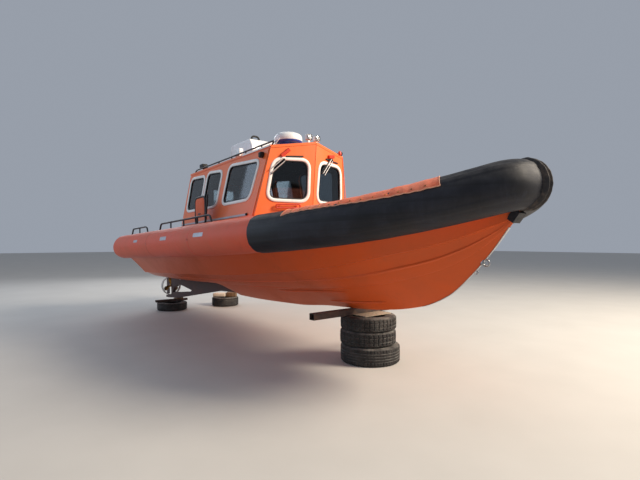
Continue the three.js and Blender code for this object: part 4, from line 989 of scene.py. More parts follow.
def sheath_relief(length, degrees):
    """Two raised bands along the sheath, a step at each, and slow uneven waves from the glue underneath."""
    bands = 0.0022 * (np.tanh((degrees - 36) / 1.2) - np.tanh((degrees - 52) / 1.2))
    lower = 0.0020 * (np.tanh((degrees + 38) / 1.2) - np.tanh((degrees + 24) / 1.2))
    waves = 0.0008 * np.sin(length * 21 + degrees * 0.05) * np.sin(degrees * 0.11 + length * 3)
    return bands + lower + waves


under = -90 - 45 * np.exp(-(sheath_line[:, 1] / 0.22) ** 4)
piece("bow_sheath_skin", wrapped(sheath_line, under, 144, SHEATH, 95, 0.07, sheath_relief), sheath_rubber,
               replaces=["bow_sheath"])

# %% [markdown]
# At the nose a thicker strip runs down the middle: two rounded ridges with a groove between, scuffed pale
# and brown where the bow pushes against things. It is a profile swept down the boat's middle plane.

# %% Nose strip
STRIP_HALF = 0.052
nose = bow_line[len(bow_line) // 2]
degrees = np.linspace(-84, 80, 83)
a = np.radians(degrees)
taper = np.sin(np.pi * (degrees + 84) / 164) ** 0.55
thick = NOSE_TUBE_R + SHEATH + 0.044 * taper - 0.003
base = NOSE_TUBE_R + SHEATH - 0.004
across = np.linspace(-1, 1, 41)
ridges = 0.5 * np.exp(-((np.abs(across) - 0.6) / 0.22) ** 2) + 0.5 * np.clip(1 - np.abs(across) ** 6, 0, 1)
ridges[[0, -1]] = 0.0
worn = 0.0015 * np.sin(a * 23)[:, None] * np.sin(across * 9 + a[:, None] * 6)
lift = (thick - base)[:, None] * ridges + worn * (ridges > 0.3)
sag = nose[0] - np.interp(np.abs(across) * STRIP_HALF, -bow_line[:len(bow_line) // 2 + 1, 1][::-1],
                          bow_line[:len(bow_line) // 2 + 1, 0][::-1])


def nose_grid(r):
    """Points at a distance r from the tube's centre, on arcs in planes along the boat. Arcs beside the
    middle plane start further aft, as the tube itself does."""
    return np.stack([nose[0] - sag + r * np.cos(a)[:, None], STRIP_HALF * across + 0 * r,
                     nose[2] + r * np.sin(a)[:, None]], -1)


nose_skin = shell(nose_grid(base + lift), nose_grid(base - 0.004 + 0 * lift))
piece("nose_ridges", nose_skin, scuffed_rubber, replaces=["nose_strip"], crease=60)

# %% [markdown]
# ## The foredeck cover
#
# Orange canvas is stretched over the foredeck from tube to tube and laced down behind the nose. Stretched
# cloth is tight across its span, so it has straight shallow lines from edge to edge and puckers near its
# fixings. Each cross line hugs the tube from its hem to the top and then runs over the low crown. The
# wrinkles are sums of sine waves whose crests run across the boat, strongest near the edges.

# %% Cover
# for each strip: x where it starts on the tube, x where it crosses the middle, and its hem's angle on the
# tube
COVER_STRIPS = np.array([[0.06, -0.69, 40], [0.17, -0.40, 46.5], [0.32, -0.05, 47.5], [0.52, 0.30, 46],
                         [0.73, 0.62, 42.5], [0.95, 0.88, 38], [1.17, 1.12, 34.5], [1.36, 1.33, 32],
                         [1.53, 1.52, 31]])
COVER_LIFT = SHEATH + 0.001


def cover_grid(lift, rows=121, columns=97):
    """Points of the cover. s runs forward along the strips and t across from starboard (0) to port (1)."""
    k = np.linspace(0, 8, rows)
    edge_x = smooth_through(k, np.arange(9.0), COVER_STRIPS[:, 0])
    centre_x = smooth_through(k, np.arange(9.0), COVER_STRIPS[:, 1])
    hem_angle = smooth_through(k, np.arange(9.0), COVER_STRIPS[:, 2])
    centre, radius = collar_at(edge_x)
    fine = collar_at(edge_x + 0.001)[0] - centre
    fine /= np.linalg.norm(fine, axis=1, keepdims=True)
    side = np.cross(fine, (0, 0, 1))
    side /= np.linalg.norm(side, axis=1, keepdims=True)
    above = np.cross(side, fine)
    knots = []
    for share in np.linspace(0, 1, 7):
        g = np.radians(hem_angle * (1 - share) + 102 * share)[:, None]
        reach = (radius + COVER_LIFT + lift)[:, None]
        knots.append(centre + reach * (np.cos(g) * side + np.sin(g) * above))
    top = centre[:, 2] + radius + SHEATH + 0.020 + lift
    knots.append(np.stack([edge_x * 0.4 + centre_x * 0.6, centre[:, 1] * 0.5, top], -1))
    knots.append(np.stack([centre_x, 0 * k, top + 0.014], -1))
    half = np.stack(knots, 1)
    line = np.concatenate([half, half[:, -2::-1] * [1, -1, 1]], 1)
    at = np.concatenate([np.linspace(0, 0.24, 7), [0.37, 0.5, 0.63], np.linspace(0.76, 1, 7)])
    t = np.linspace(0, 1, columns)
    return np.moveaxis(smooth_through(t, at, np.moveaxis(line, 1, 0)), 0, 1)


def wrinkles(rows=121, columns=97):
    """Height of the folds: crests run from edge to edge, more and smaller ones near the edges."""
    s, t = np.meshgrid(np.linspace(0, 1, rows), np.linspace(0, 1, columns), indexing="ij")
    side = np.abs(2 * t - 1)
    slant = s + 0.05 * np.sin(3.1 * t + 1)
    long = np.sin(slant * 46 + 1.3 * np.sin(t * 7)) * (0.35 + 0.65 * np.sin(slant * 11 + 2) ** 2)
    pucker = np.sin(slant * 118 + 0.8 * np.sin(s * 31)) * side ** 3
    edge = np.clip(np.minimum(s, 1 - s) / 0.06, 0, 1)
    return (0.0045 * long * (1 - 0.55 * side) + 0.0022 * pucker) * edge


fold_height = wrinkles()
folds = np.stack([0 * fold_height, 0 * fold_height, fold_height], -1)
cover_top = cover_grid(0.006) + folds
cover_low = cover_grid(0.002) + folds
cover = piece("foredeck_cover_cloth", shell(cover_top, cover_low), canvas,
              replaces=["foredeck_cover"], crease=50)

# %% [markdown]
# The cover's hem is a thin pale piping along its edges, partly a real cord and partly a painted highlight
# along the hem, with small brass lacing eyes above it at an even spacing.

# %% Piping and eyelets
def along(path, count):
    """Points at equal distances along a path."""
    length = np.append(0, np.linalg.norm(np.diff(path, axis=0), axis=1).cumsum())
    at = np.linspace(0, length[-1], count)
    return np.stack([np.interp(at, length, path[:, k]) for k in range(3)], -1)


hem = cover_top[:, 0]
# the piping's pale colour is partly a painted highlight along the hem
piping = grid(sweep(along(hem, 90), loop(0.0045, 10)), caps=True)
aft_hem = grid(sweep(along(cover_top[0], 120), loop(0.0028, 8), up=(1, 0, 0.2)), caps=True)
fore_hem = grid(sweep(along(cover_top[-1], 120), loop(0.0028, 8), up=(1, 0, 0.2)), caps=True)
hem_piece = piece("cover_piping", join(both(piping), aft_hem, fore_hem), pale_canvas)
inset = along(cover_top[:, 3], 15)[1:-1]
normal = inset - along(collar_at(cover_top[:, 3, 0])[0], 15)[1:-1]
EYE_SCALE = 0.6
eyes = []
for spot, out in zip(inset, normal):
    turn = facing(out)
    eyes.append(lathe([(0.006, 0.0), (0.006, 0.003), (0.009, 0.0045), (0.012, 0.003), (0.0125, -0.001),
                       (0.006, -0.001), (0.006, 0.0)], 16, turn * EYE_SCALE,
                      spot + out / np.linalg.norm(out) * 0.001))
eyelets = piece("cover_eyelets", both(join(*eyes)), bronze)

# %% [markdown]
# ## The wheelhouse
#
# The wheelhouse is welded plate: side walls that lean in above a sill, and a front of two faces meeting at
# a ridge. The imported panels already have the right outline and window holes, so a copy of each gets
# softened edges, its paint outside and a dark lining inside. The collar is inflated rubber, but this is
# plate, so the edges are tight.

# %% Panels
RIDGE_LOW = np.array([-0.727, 0.0, 1.247])
RIDGE_TOP = np.array([-0.625, 0.0, 2.053])
ROOF_EDGE = 0.580  # half the roof's width
ROOF_Z = 1.966  # the roof's height at that edge
SILL_HALF, SILL_Z = 0.750, 1.135  # the wheelhouse's sill, above which the side walls lean inwards
ROOF_CORNER = np.array([-0.780, -ROOF_EDGE, ROOF_Z])
front_out = np.cross(RIDGE_TOP - RIDGE_LOW, ROOF_CORNER - RIDGE_LOW)
front_out *= np.sign(front_out[0]) / np.linalg.norm(front_out)
up_ridge = (RIDGE_TOP - RIDGE_LOW) / np.linalg.norm(RIDGE_TOP - RIDGE_LOW)
outboard = np.cross(up_ridge, front_out)
outboard *= -np.sign(outboard[1])
LEAN = (SILL_HALF - ROOF_EDGE) / (ROOF_Z - SILL_Z)
side_out = np.array([0, -1, LEAN]) / math.hypot(1, LEAN)
panels = {"cabin_side_starboard": side_out, "cabin_side_port": side_out * [1, -1, 1],
          "cabin_front_starboard": front_out, "cabin_front_port": front_out * [1, -1, 1],
          "cabin_roof": (0, 0, 1), "cabin_back": (-1, 0, 0)}
for name, outward in panels.items():
    from_solid(name, cabin_paint, 0.005, np.asarray(outward) @ boat_axes, lining)
from_solid("cabin_door", cabin_paint, 0.004, -boat_axes[0], lining, "cabin_door")
print("front face looks along", front_out.round(3))

# %% [markdown]
# Points on the two kinds of wall come from one small function each: along the boat and up for the leaning
# side, outboard and up the ridge for the front. Both take a distance out from the paint.

# %% On the walls
def on_side(xz, out=0.0):
    """(x, z) on the starboard side wall, a distance outside it."""
    xz = np.asarray(xz, float)
    y = -(SILL_HALF - LEAN * (xz[..., 1] - SILL_Z))
    return np.stack([xz[..., 0], y, xz[..., 1]], -1) + out * side_out


def on_front(uv, out=0.0):
    """(u, v) on the starboard front face, u outboard from the ridge and v up it."""
    uv = np.asarray(uv, float)
    return RIDGE_LOW + uv[..., :1] * outboard + uv[..., 1:] * up_ridge + out * front_out


def in_front(y, z):
    """(u, v) of the front face's point at a given y (starboard is negative) and z."""
    x = RIDGE_LOW[0] - (front_out[1] * y + front_out[2] * (z - RIDGE_LOW[2])) / front_out[0]
    p = np.array([x, y, z]) - RIDGE_LOW
    across = outboard - up_ridge * (outboard @ up_ridge)
    u = p @ across / (across @ across)
    return np.array([u, (p - u * outboard) @ up_ridge])


def rounded(corners, radius, steps=8):
    """A closed outline through corner points, each rounded by a parabola that starts a radius before it."""
    corners = np.asarray(corners, float)
    before, after = np.roll(corners, 1, 0), np.roll(corners, -1, 0)
    start = corners + (before - corners) / np.linalg.norm(before - corners, axis=1, keepdims=True) * radius
    end = corners + (after - corners) / np.linalg.norm(after - corners, axis=1, keepdims=True) * radius
    t = np.linspace(0, 1, steps + 1)[None, :, None]
    curve = (1 - t) ** 2 * start[:, None] + 2 * t * (1 - t) * corners[:, None] + t ** 2 * end[:, None]
    return curve.reshape(-1, 2)


def grown(corners, distance):
    """Each corner moved away from the middle by a distance in both directions."""
    corners = np.asarray(corners, float)
    return corners + np.sign(corners - corners.mean(0)) * distance


def hoop(path, profile, up):
    """A closed profile carried round a closed path. up is the direction of the profile's second axis."""
    path, profile = np.asarray(path, float), np.asarray(profile, float)
    tangent = np.roll(path, -1, 0) - np.roll(path, 1, 0)
    tangent /= np.linalg.norm(tangent, axis=1, keepdims=True)
    side = np.cross(tangent, np.broadcast_to(up, path.shape))
    side /= np.linalg.norm(side, axis=1, keepdims=True)
    rows = path[:, None] + profile[:, :1] * side[:, None] + profile[:, 1:] * np.asarray(up, float)
    return grid(np.concatenate([rows, rows[:1]]))


print("the starboard screen's top corner:", on_front([0.545, 0.545]).round(3))

# %% [markdown]
# Each window has a broad white frame of moulded section outside and a black rubber gasket inside it. Both
# are one profile carried round the window's rounded outline.

# %% Window frames
FRAME_W = 0.021
frame_profile = [(-FRAME_W, -0.004), (-FRAME_W, 0.005), (-0.017, 0.010), (-0.010, 0.0125), (0.010, 0.0125),
                 (0.017, 0.010), (FRAME_W, 0.005), (FRAME_W, -0.004), (-FRAME_W, -0.004)]
gasket_profile = [(-0.008, -0.015), (-0.008, 0.001), (-0.004, 0.005), (0.004, 0.005), (0.008, 0.001),
                  (0.008, -0.015), (-0.008, -0.015)]
SIDE_WINDOWS = [
    [(-1.830, 1.350), (-1.120, 1.345), (-1.010, 1.805), (-1.790, 1.868)],
    [(-2.475, 1.355), (-2.035, 1.345), (-2.010, 1.830), (-2.475, 1.875)],
    [(-3.040, 1.362), (-2.570, 1.355), (-2.575, 1.840), (-3.070, 1.872)]]
SCREEN = [(0.085, 0.066), (0.614, 0.056), (0.547, 0.535), (0.100, 0.560)]
openings = [(on_side, side_out, corners, 0.09) for corners in SIDE_WINDOWS]
openings.append((on_front, front_out, SCREEN, 0.11))
frames, gaskets = [], []
for wall, out, corners, radius in openings:
    frames.append(hoop(wall(rounded(grown(corners, 0.016), radius + 0.02)), frame_profile, out))
    gaskets.append(hoop(wall(rounded(grown(corners, -0.010), radius - 0.005)), gasket_profile, out))
piece("window_frames", both(join(*frames)), frame_white)
piece("window_gaskets", both(join(*gaskets)), black_trim)
DOOR_X = -3.186  # the door's outer face
door_corners = [(-0.199, 1.321), (0.199, 1.321), (0.199, 1.759), (-0.199, 1.759)]


def on_door(yz, out=0.0):
    """(y, z) on the door's outer face."""
    yz = np.asarray(yz, float)
    return np.stack([DOOR_X - out + 0 * yz[..., 0], yz[..., 0], yz[..., 1]], -1)


piece("door_window_frame", hoop(on_door(rounded(grown(door_corners, 0.014), 0.03)), frame_profile,
                                (-1, 0, 0)),
      frame_white, body="cabin_door")
piece("door_window_gasket", hoop(on_door(rounded(grown(door_corners, -0.006), 0.02), -0.006),
                                 [(x, y - 0.008) for x, y in gasket_profile], (-1, 0, 0)),
      black_trim, body="cabin_door")
for name in nodes:
    if "window" in name or "windscreen" in name:
        for slot in nodes[name].material_slots:
            slot.material = window_glass

# %% [markdown]
# Trim on the walls. The sill carries a thin grey rubbing strip that ends in a black knob, and the roof's
# edge has a drip moulding. The white strip on the moulding's forward end is a painted highlight, where the
# roof's edge catches the light. The front has a grab loop low down on each face's outer half, and the
# ridge and corners have fine weld beads.

# %% Trim
def strip(points, width, height, out):
    """A flat strip with rounded edges along a path, its top looking out."""
    w, h = width / 2, height
    section = [(-w, -h), (-w, h * 0.4), (-w * 0.8, h), (w * 0.8, h), (w, h * 0.4), (w, -h), (-w, -h)]
    return grid(sweep(np.asarray(points, float), np.array(section), out), caps=True)


sill = [on_side([x, 1.141], 0.002) for x in np.linspace(-3.15, -1.11, 12)]
piece("sill_strips", both(strip(sill, 0.028, 0.006, side_out)), light_grey)
knob_out = facing(side_out)
knob = lathe([(0, 0.024), (0.010, 0.023), (0.016, 0.017), (0.017, 0.008), (0.010, 0.0), (0.0, 0.0)], 20,
             knob_out, on_side([-1.10, 1.141], 0.0))
piece("sill_knobs", both(knob), black_trim)
edge_points = [(x, -0.5835, 1.9625) for x in np.linspace(-3.16, -0.79, 12)]
drip = [(-0.007, -0.014), (-0.007, 0.010), (-0.003, 0.013), (0.004, 0.013), (0.006, 0.008), (0.006, -0.014),
        (-0.007, -0.014)]
piece("roof_drip_edges", both(grid(sweep(edge_points, np.array(drip)), caps=True)), cabin_paint)
# a white strip on the forward end of the roof edge: a painted highlight of the sunlit edge
highlight_path = [on_side([x, 1.962], 0.008) for x in np.linspace(-1.470, -0.800, 8)]
piece("roof_edge_painted_highlight", both(strip(highlight_path, 0.020, 0.004, side_out)), frame_white)
beads = [bar([on_front([0.0, v], 0.0) for v in (-0.30, 0.80)], 0.004, sides=8, up=(1, 0, 0)),
         both(bar([(-0.780, -0.581, 1.955), (-0.902, -0.749, 1.150)], 0.005, sides=8, up=(1, 0, 0)))]
piece("weld_beads", join(*beads), cabin_paint, crease=60)


def grab_loop():
    """A flat loop of bar standing off the front face: a bent path with its feet on the paint."""
    low, high = in_front(-0.495, 1.234), in_front(-0.188, 1.240)
    lift = np.array([0, 0.021])
    ring = [low - lift, high - lift, high + lift, low + lift]
    outline = rounded([np.asarray(p) for p in ring], 0.017, 6)
    feet = [bar([on_front(p, -0.002), on_front(p, 0.035)], 0.006, sides=10, up=(0, 0, 1))
            for p in (low * 0.85 + high * 0.15, low * 0.15 + high * 0.85)]
    return join(hoop(on_front(outline, 0.035), loop(0.009, 12), front_out), *feet)


piece("grab_loops", both(grab_loop()), red_plastic)

# %% [markdown]
# Wipers. A motor box sits above each screen, with a bar under it, two thin parallel arms and a blade that
# is parked along the screen's outer upper edge. The port arms stand steeper, as on the real boat.

# %% Wipers
def wiper(box_low, box_high, bar_ends, arm_from, arm_to):
    """One wiper on the starboard face, from (y, z) places: a slanted box, a bar, two arms and a blade."""
    slant = [in_front(*box_low), in_front(*box_high)]
    motor = grid(sweep([on_front(p, 0.012) for p in slant],
                       np.array([(-0.022, -0.014), (-0.022, 0.010), (-0.016, 0.018), (0.016, 0.018),
                                 (0.022, 0.010), (0.022, -0.014), (-0.022, -0.014)]), front_out), caps=True)
    rail = strip([on_front(in_front(*p), 0.010) for p in bar_ends], 0.016, 0.008, front_out)
    a, b = in_front(*arm_from), in_front(*arm_to)
    aside = np.array([a[1] - b[1], b[0] - a[0]]) / np.linalg.norm(a - b)
    arms = [bar([on_front(a + aside * s, 0.030), on_front(b + aside * s, 0.024)], 0.0058, sides=10,
                up=(1, 0, 0))
            for s in (-0.019, 0.019)]
    middle = (a + 2 * b) / 3
    blade = grid(sweep([on_front(middle - (b - a) * 0.62 - aside * 0.03, 0.016),
                        on_front(middle + (b - a) * 0.42 - aside * 0.03, 0.016)],
                       np.array([(-0.003, -0.010), (-0.005, 0.006), (0.005, 0.006), (0.003, -0.010),
                                 (-0.003, -0.010)]), front_out), caps=True)
    hub = lathe([(0, 0.040), (0.010, 0.040), (0.014, 0.034), (0.014, 0.0), (0, 0.0)], 18,
                facing(front_out), on_front(a, 0.0))
    return motor, join(rail, blade, hub), join(*arms)


motor_s, dark_s, arms_s = wiper((-0.454, 1.842), (-0.357, 1.928), [(-0.39, 1.842), (-0.171, 1.857)],
                                (-0.422, 1.800), (-0.580, 1.648))
motor_p, dark_p, arms_p = wiper((-0.25, 1.905), (-0.36, 1.925), [(-0.204, 1.872), (-0.464, 1.854)],
                                (-0.31, 1.872), (-0.16, 1.668))
piece("wiper_motors", join(motor_s, mirrored(motor_p)), red_plastic)
piece("wiper_bars", join(dark_s, mirrored(dark_p)), black_trim)
piece("wiper_arms", join(arms_s, mirrored(arms_p)), bright_metal)

# %% [markdown]
# ## Roof gear
#
# On the roof stand a radar dome, a boxy white housing with a carrying handle, and two floodlights at the
# front ridge. The dome is a lathe: a shallow bowl with a dark blue underside, a waist, and a domed lid with
# a fine joint line. It stands on a low square foot.

# %% Radar dome
RADAR = np.array([-1.240, 0.0, 2.107])
RIDGE_Z = 2.0534  # just over the roof's ridge, so what stands on it is clear of the plate
lid = [(0.0, 0.192), (0.060, 0.190), (0.110, 0.185), (0.145, 0.176), (0.170, 0.163), (0.184, 0.147),
       (0.190, 0.128), (0.1925, 0.108), (0.1905, 0.1065), (0.1905, 0.1045), (0.1935, 0.103),
       (0.1935, 0.078), (0.1905, 0.072), (0.0, 0.072)]
bowl = [(0.0, 0.074), (0.1900, 0.074), (0.1895, 0.066), (0.180, 0.050), (0.160, 0.040), (0.128, 0.036),
        (0.122, 0.030), (0.120, 0.004), (0.112, 0.0), (0.0, 0.0)]
piece("radar_lid", lathe(lid, 72, shift=RADAR), white_gelcoat, replaces=["radar_dome"])
piece("radar_bowl", lathe(bowl, 72, shift=RADAR), radar_blue)


def roof_z(y):
    """Height of the roof's top at y."""
    return ROOF_Z + (ROOF_EDGE - abs(y)) * 0.15


def legged_foot(x0, x1, half, top):
    """A foot whose underside follows the roof's ridge."""
    section = [(-half, roof_z(half) + 0.0004), (0, RIDGE_Z), (half, roof_z(half) + 0.0004),
               (half * 0.96, top), (-half * 0.96, top), (-half, roof_z(half) + 0.0004)]
    points = [[(x, y, z) for y, z in section] for x in (x0, x1)]
    return grid(np.array(points, float), caps=True)


piece("radar_foot", legged_foot(-1.370, -1.110, 0.130, 2.1085), white_gelcoat)

# %% [markdown]
# The housing is folded sheet with a sloped front. Its profile along the boat is swept across, and a fold
# shows as a raised line round each side. The handle on top is a black grip on two posts.

# %% Roof housing
HOUSING_MIDDLE = -2.0
HOUSING_HALF = 0.330


def housing(half):
    """The housing's outline in x and z, swept across the roof, with its floor on the roof's two slopes."""
    outline = [(-2.328, 0), (-1.650, 0), (-1.650, 2.168), (-1.652, 2.176), (-1.716, 2.2805),
               (-1.724, 2.285), (-2.242, 2.285), (-2.253, 2.2805), (-2.324, 2.010)]
    rows = []
    for y in (-half, -half + 0.006, half - 0.006, half):
        squeeze = 0.004 if abs(y) == half else 0.0
        floor_z = roof_z(y) + 0.0004
        rows.append([(x + squeeze * np.sign(HOUSING_MIDDLE - x), y, floor_z if z == 0 else z - squeeze)
                     for x, z in outline])
    middle = [(x, 0.0, RIDGE_Z if z == 0 else z) for x, z in outline]
    rows.insert(2, middle)
    rows = np.array(rows)
    return grid(np.concatenate([rows, rows[:, :1]], 1), caps=True)


piece("roof_housing", housing(HOUSING_HALF), white_gelcoat, replaces=["roof_box"],
      crease=28)
panel = [(-2.290, 2.040), (-1.685, 2.040), (-1.685, 2.158), (-1.738, 2.252), (-2.228, 2.252)]
panel_path = np.array([(x, -HOUSING_HALF - 0.0005, z) for x, z in rounded(panel, 0.02, 5)])
piece("housing_folds", both(hoop(panel_path, [(-0.004, -0.002), (-0.003, 0.002), (0.003, 0.002),
                                              (0.004, -0.002),
                                              (-0.004, -0.002)], (0, -1, 0))), white_gelcoat)
handle = bar([(-1.79, -0.260, 2.280), (-1.79, -0.245, 2.350), (-1.79, -0.140, 2.350),
              (-1.79, -0.120, 2.280)], 0.014,
             0.04, up=(1, 0, 0.01))
piece("housing_handle", handle, black_trim)
small_box = join(block((-1.76, -0.545, 2.020), (-1.63, -0.480, 2.105), 0.008),
                 block((-1.75, -0.540, 1.968), (-1.73, -0.490, 2.024), 0.003),
                 block((-1.66, -0.540, 1.968), (-1.64, -0.490, 2.024), 0.003))
piece("small_junction_box", small_box, white_gelcoat)

# %% [markdown]
# The floodlights are small white housings with a clear lens, a black bezel and a bracket. A dark lamp hangs
# at the front corner of the side wall, another stands at the roof's aft end, and a red one on the port
# edge.

# %% Lamps
for i, y in enumerate((-0.060, 0.070)):
    z = roof_z(y) + 0.040
    body = join(block((-0.740, y - 0.042, z), (-0.690, y + 0.042, z + 0.072), 0.010, 3),
                block((-0.700, y - 0.038, z + 0.004), (-0.684, y + 0.038, z + 0.068), 0.006),
                block((-0.730, y - 0.016, roof_z(abs(y) + 0.016)), (-0.700, y + 0.016, z + 0.006), 0.003))
    piece(f"floodlight_{i + 1}", body, white_gelcoat, replaces=[f"roof_lamp_{i + 1}"])
    outline = rounded([(y - 0.034, z + 0.006), (y + 0.034, z + 0.006), (y + 0.034, z + 0.066),
                       (y - 0.034, z + 0.066)],
                      0.012, 5)
    ring = np.array([(-0.683, a, b) for a, b in outline])
    piece(f"floodlight_bezel_{i + 1}", hoop(ring, loop(0.0035, 8), (1, 0, 0)), black_trim)
    piece(f"floodlight_lens_{i + 1}", block((-0.6845, y - 0.033, z + 0.007),
                                            (-0.6805, y + 0.033, z + 0.065), 0.0018),
          lamp_glass)
corner_lamp = moved(join(block((-0.030, -0.048, -0.034), (0.030, 0.004, 0.034), 0.008),
                         block((-0.024, -0.056, -0.026), (0.024, -0.046, 0.026), 0.006)),
                    on_side([-0.943, 1.869]))
piece("corner_lamps", both(corner_lamp), black_trim)
aft_z = roof_z(0.50)
aft_lamp = join(block((-2.92, -0.545, aft_z + 0.050), (-2.80, -0.455, aft_z + 0.118), 0.012),
                block((-2.93, -0.535, aft_z + 0.056), (-2.915, -0.465, aft_z + 0.112), 0.006),
                bar([(-2.86, -0.50, aft_z - 0.002), (-2.86, -0.50, aft_z + 0.056)], 0.011, up=(1, 0, 0)))
piece("aft_deck_lamp", aft_lamp, black_trim)
port_lamp = lathe([(0, 0.052), (0.012, 0.050), (0.021, 0.040), (0.023, 0.016), (0.026, 0.014), (0.026, 0.0),
                   (0, 0)],
                  28, shift=(-0.760, 0.512, roof_z(0.512)))
piece("port_side_light", port_lamp, red_plastic)
strut = bar([(-0.790, -0.535, roof_z(0.535) - 0.004), (-0.722, -0.500, 2.045)], 0.008, sides=10,
            up=(1, 0, 0))
piece("corner_strut", strut, white_gelcoat)

# %% [markdown]
# ## Rails
#
# Bars are bent, so their corners are short curves. The roof rails run along both roof edges on small posts.
# The rails on the collar stand on rubber pads that are glued to its top, and each foot has a round flange.

# %% Roof rails
def roof_rail():
    """The starboard roof rail with its posts and small base plates."""
    y, base, top = -0.560, 1.964, 2.014
    line = bar([(-3.050, y, base), (-2.990, y, top), (-0.750, y, top), (-0.800, y, base)], 0.011, 0.035)
    parts = [line]
    for k in (0.17, 0.34, 0.51, 0.68, 0.85):
        x = -2.990 + 2.300 * k
        parts += [bar([(x, y, base), (x, y, top)], 0.0088, up=(1, 0, 0)),
                  lathe([(0, 0.007), (0.016, 0.006), (0.018, 0.002), (0.018, -0.001), (0, -0.001)], 16,
                        shift=(x, y, roof_z(y) + 0.001))]
    return join(*parts)


for side, form in (("starboard", roof_rail()), ("port", mirrored(roof_rail()))):
    piece(f"roof_rail_bar_{side}", form, black_paint, replaces=[f"roof_rail_{side}"])


# %% Collar rails
RAIL_Y = -0.945


def collar_rail(x0, x1, posts):
    """A bent rail over the starboard tube with its posts."""
    y, base, top = RAIL_Y, 1.020, 1.182
    parts = [bar([(x0, y, base), (x0 + 0.090, y, top), (x1 - 0.090, y, top), (x1, y, base)], 0.014, 0.05)]
    parts += [bar([(x0 + (x1 - x0) * k, y, base), (x0 + (x1 - x0) * k, y, top)], 0.011, up=(1, 0, 0))
              for k in posts]
    return join(*parts)


def rail_pads(x0, x1, posts):
    """A round pad and flange under each foot. The tube falls away outboard, so the pads lean with it."""
    turn = facing((0, 0.095, 0.192))
    pad = [(0, 0.014), (0.024, 0.014), (0.028, 0.010), (0.030, 0.006), (0.060, 0.004), (0.066, 0.0),
           (0.066, -0.006), (0, -0.006)]
    feet = [x0, x1, *[x0 + (x1 - x0) * k for k in posts]]
    return join(*[lathe(pad, 28, turn, (x, RAIL_Y, TUBE_Z + 0.192)) for x in feet])


RAILS = {"side_rail": (-3.620, -1.640, (0.26, 0.515, 0.76)), "stern_rail": (-5.100, -4.150, (0.5,))}
for name, run in RAILS.items():
    for side, turn_over in (("starboard", lambda form: form), ("port", mirrored)):
        piece(f"{name}_bar_{side}", turn_over(collar_rail(*run)), black_paint,
              replaces=[f"{name}_{side}"])
piece("rail_pads", both(join(*[rail_pads(*run) for run in RAILS.values()])), black_trim)

# %% [markdown]
# A padded back board stands inside the side rail: orange panel, black frame bent from bar, and a post. It
# is a hard pad, so it is a rounded slab with a slight crown rather than a simulated cushion. The frame is
# longer than the pad and its two legs reach down to the collar.

# %% Back board
PAD = [(-2.306, 1.180), (-2.014, 1.180), (-2.014, 1.456), (-2.306, 1.456)]
BOARD = [(-2.320, 1.072), (-2.000, 1.072), (-2.000, 1.468), (-2.320, 1.468)]
BOARD_Y = -0.880
outline = rounded(PAD, 0.070, 10)
centre = outline.mean(0)
shares = np.array([0.0, 0.5, 0.8, 0.92, 0.98, 1.0])
crown = np.array([0.019, 0.018, 0.0155, 0.0125, 0.008, 0.0])


def board_face(sign):
    """Rings from the middle of the board to its edge, bulging to one side."""
    rings = centre + shares[:, None, None] * (outline - centre) * 0.985
    y = np.broadcast_to(BOARD_Y + sign * crown[:, None, None], (*rings.shape[:2], 1))
    rings = np.concatenate([rings[..., :1], y, rings[..., 1:]], -1)
    return np.concatenate([rings, rings[:, :1]], 1)


board_form = grid(np.concatenate([board_face(-1), board_face(1)[-2::-1]]))
piece("back_board_pad", board_form, canvas, crease=60)
frame_path = np.array([(x, BOARD_Y, z) for x, z in rounded(BOARD, 0.090, 10)])
slot = block((-2.20, -0.9035, 1.222), (-2.12, -0.8985, 1.240), 0.002)
post = bar([(-2.024, BOARD_Y, 0.975), (-1.972, BOARD_Y, 1.235), (-1.924, BOARD_Y, 1.482)], 0.013, 0.05,
           up=(0, 1, 0))
legs = [bar([(x, BOARD_Y, 0.985), (x, BOARD_Y, 1.120)], 0.0115, up=(1, 0, 0)) for x in (-2.306, -2.014)]
piece("back_board_frame", join(hoop(frame_path, loop(0.0135, 14), (0, 1, 0)), post, slot, *legs),
      black_paint, replaces=["back_board"])

# %% [markdown]
# ## Inside the wheelhouse
#
# The seats are sprung boat seats on pedestals, with thick vinyl pads. A pad is a cushion: crowned, with
# soft sides. One base pad and one back pad are inflated with cloth simulation, starting from slightly
# smaller blocks, and the four seats share the results.

# %% Cushions
def cushion(size, cap, crown):
    """Points and faces of one pad of a given size, centred at the origin. The block is remeshed at 8 mm,
    filled with pressure for 20 frames, and no point moves further than the cap."""
    half = np.array(size) / 2 - crown
    points, faces, ends, _ = block(-half, half, 0.030, 5)
    mesh = bpy.data.meshes.new("pad")
    mesh.from_pydata(points.tolist(), [], faces.tolist() + ends)
    pad = linked("pad", mesh)
    merged(mesh)
    modifier(pad, "REMESH", mode="VOXEL", voxel_size=0.008)
    applied(pad)
    rest = np.empty(len(pad.data.vertices) * 3)
    pad.data.vertices.foreach_get("co", rest)
    rest = rest.reshape(-1, 3)
    cloth = pad.modifiers.new("Cloth", "CLOTH").settings
    cloth.use_pressure = True
    cloth.uniform_pressure_force = 4.0
    cloth.effector_weights.gravity = 0.0
    for number in range(1, 21):
        bpy.context.scene.frame_set(number)
    applied(pad)
    bpy.context.scene.frame_set(1)
    moved_to = np.empty_like(rest).ravel()
    pad.data.vertices.foreach_get("co", moved_to)
    shift = moved_to.reshape(-1, 3) - rest
    far = np.linalg.norm(shift, axis=1, keepdims=True)
    points = rest + shift * np.minimum(1, cap / np.maximum(far, 1e-9))
    faces = [list(face.vertices) for face in pad.data.polygons]
    bpy.data.objects.remove(pad)
    return points, faces


base_pad = cushion((0.46, 0.39, 0.12), 0.016, 0.008)
back_pad = cushion((0.11, 0.38, 0.52), 0.016, 0.008)
print("pad points:", len(base_pad[0]), len(back_pad[0]))

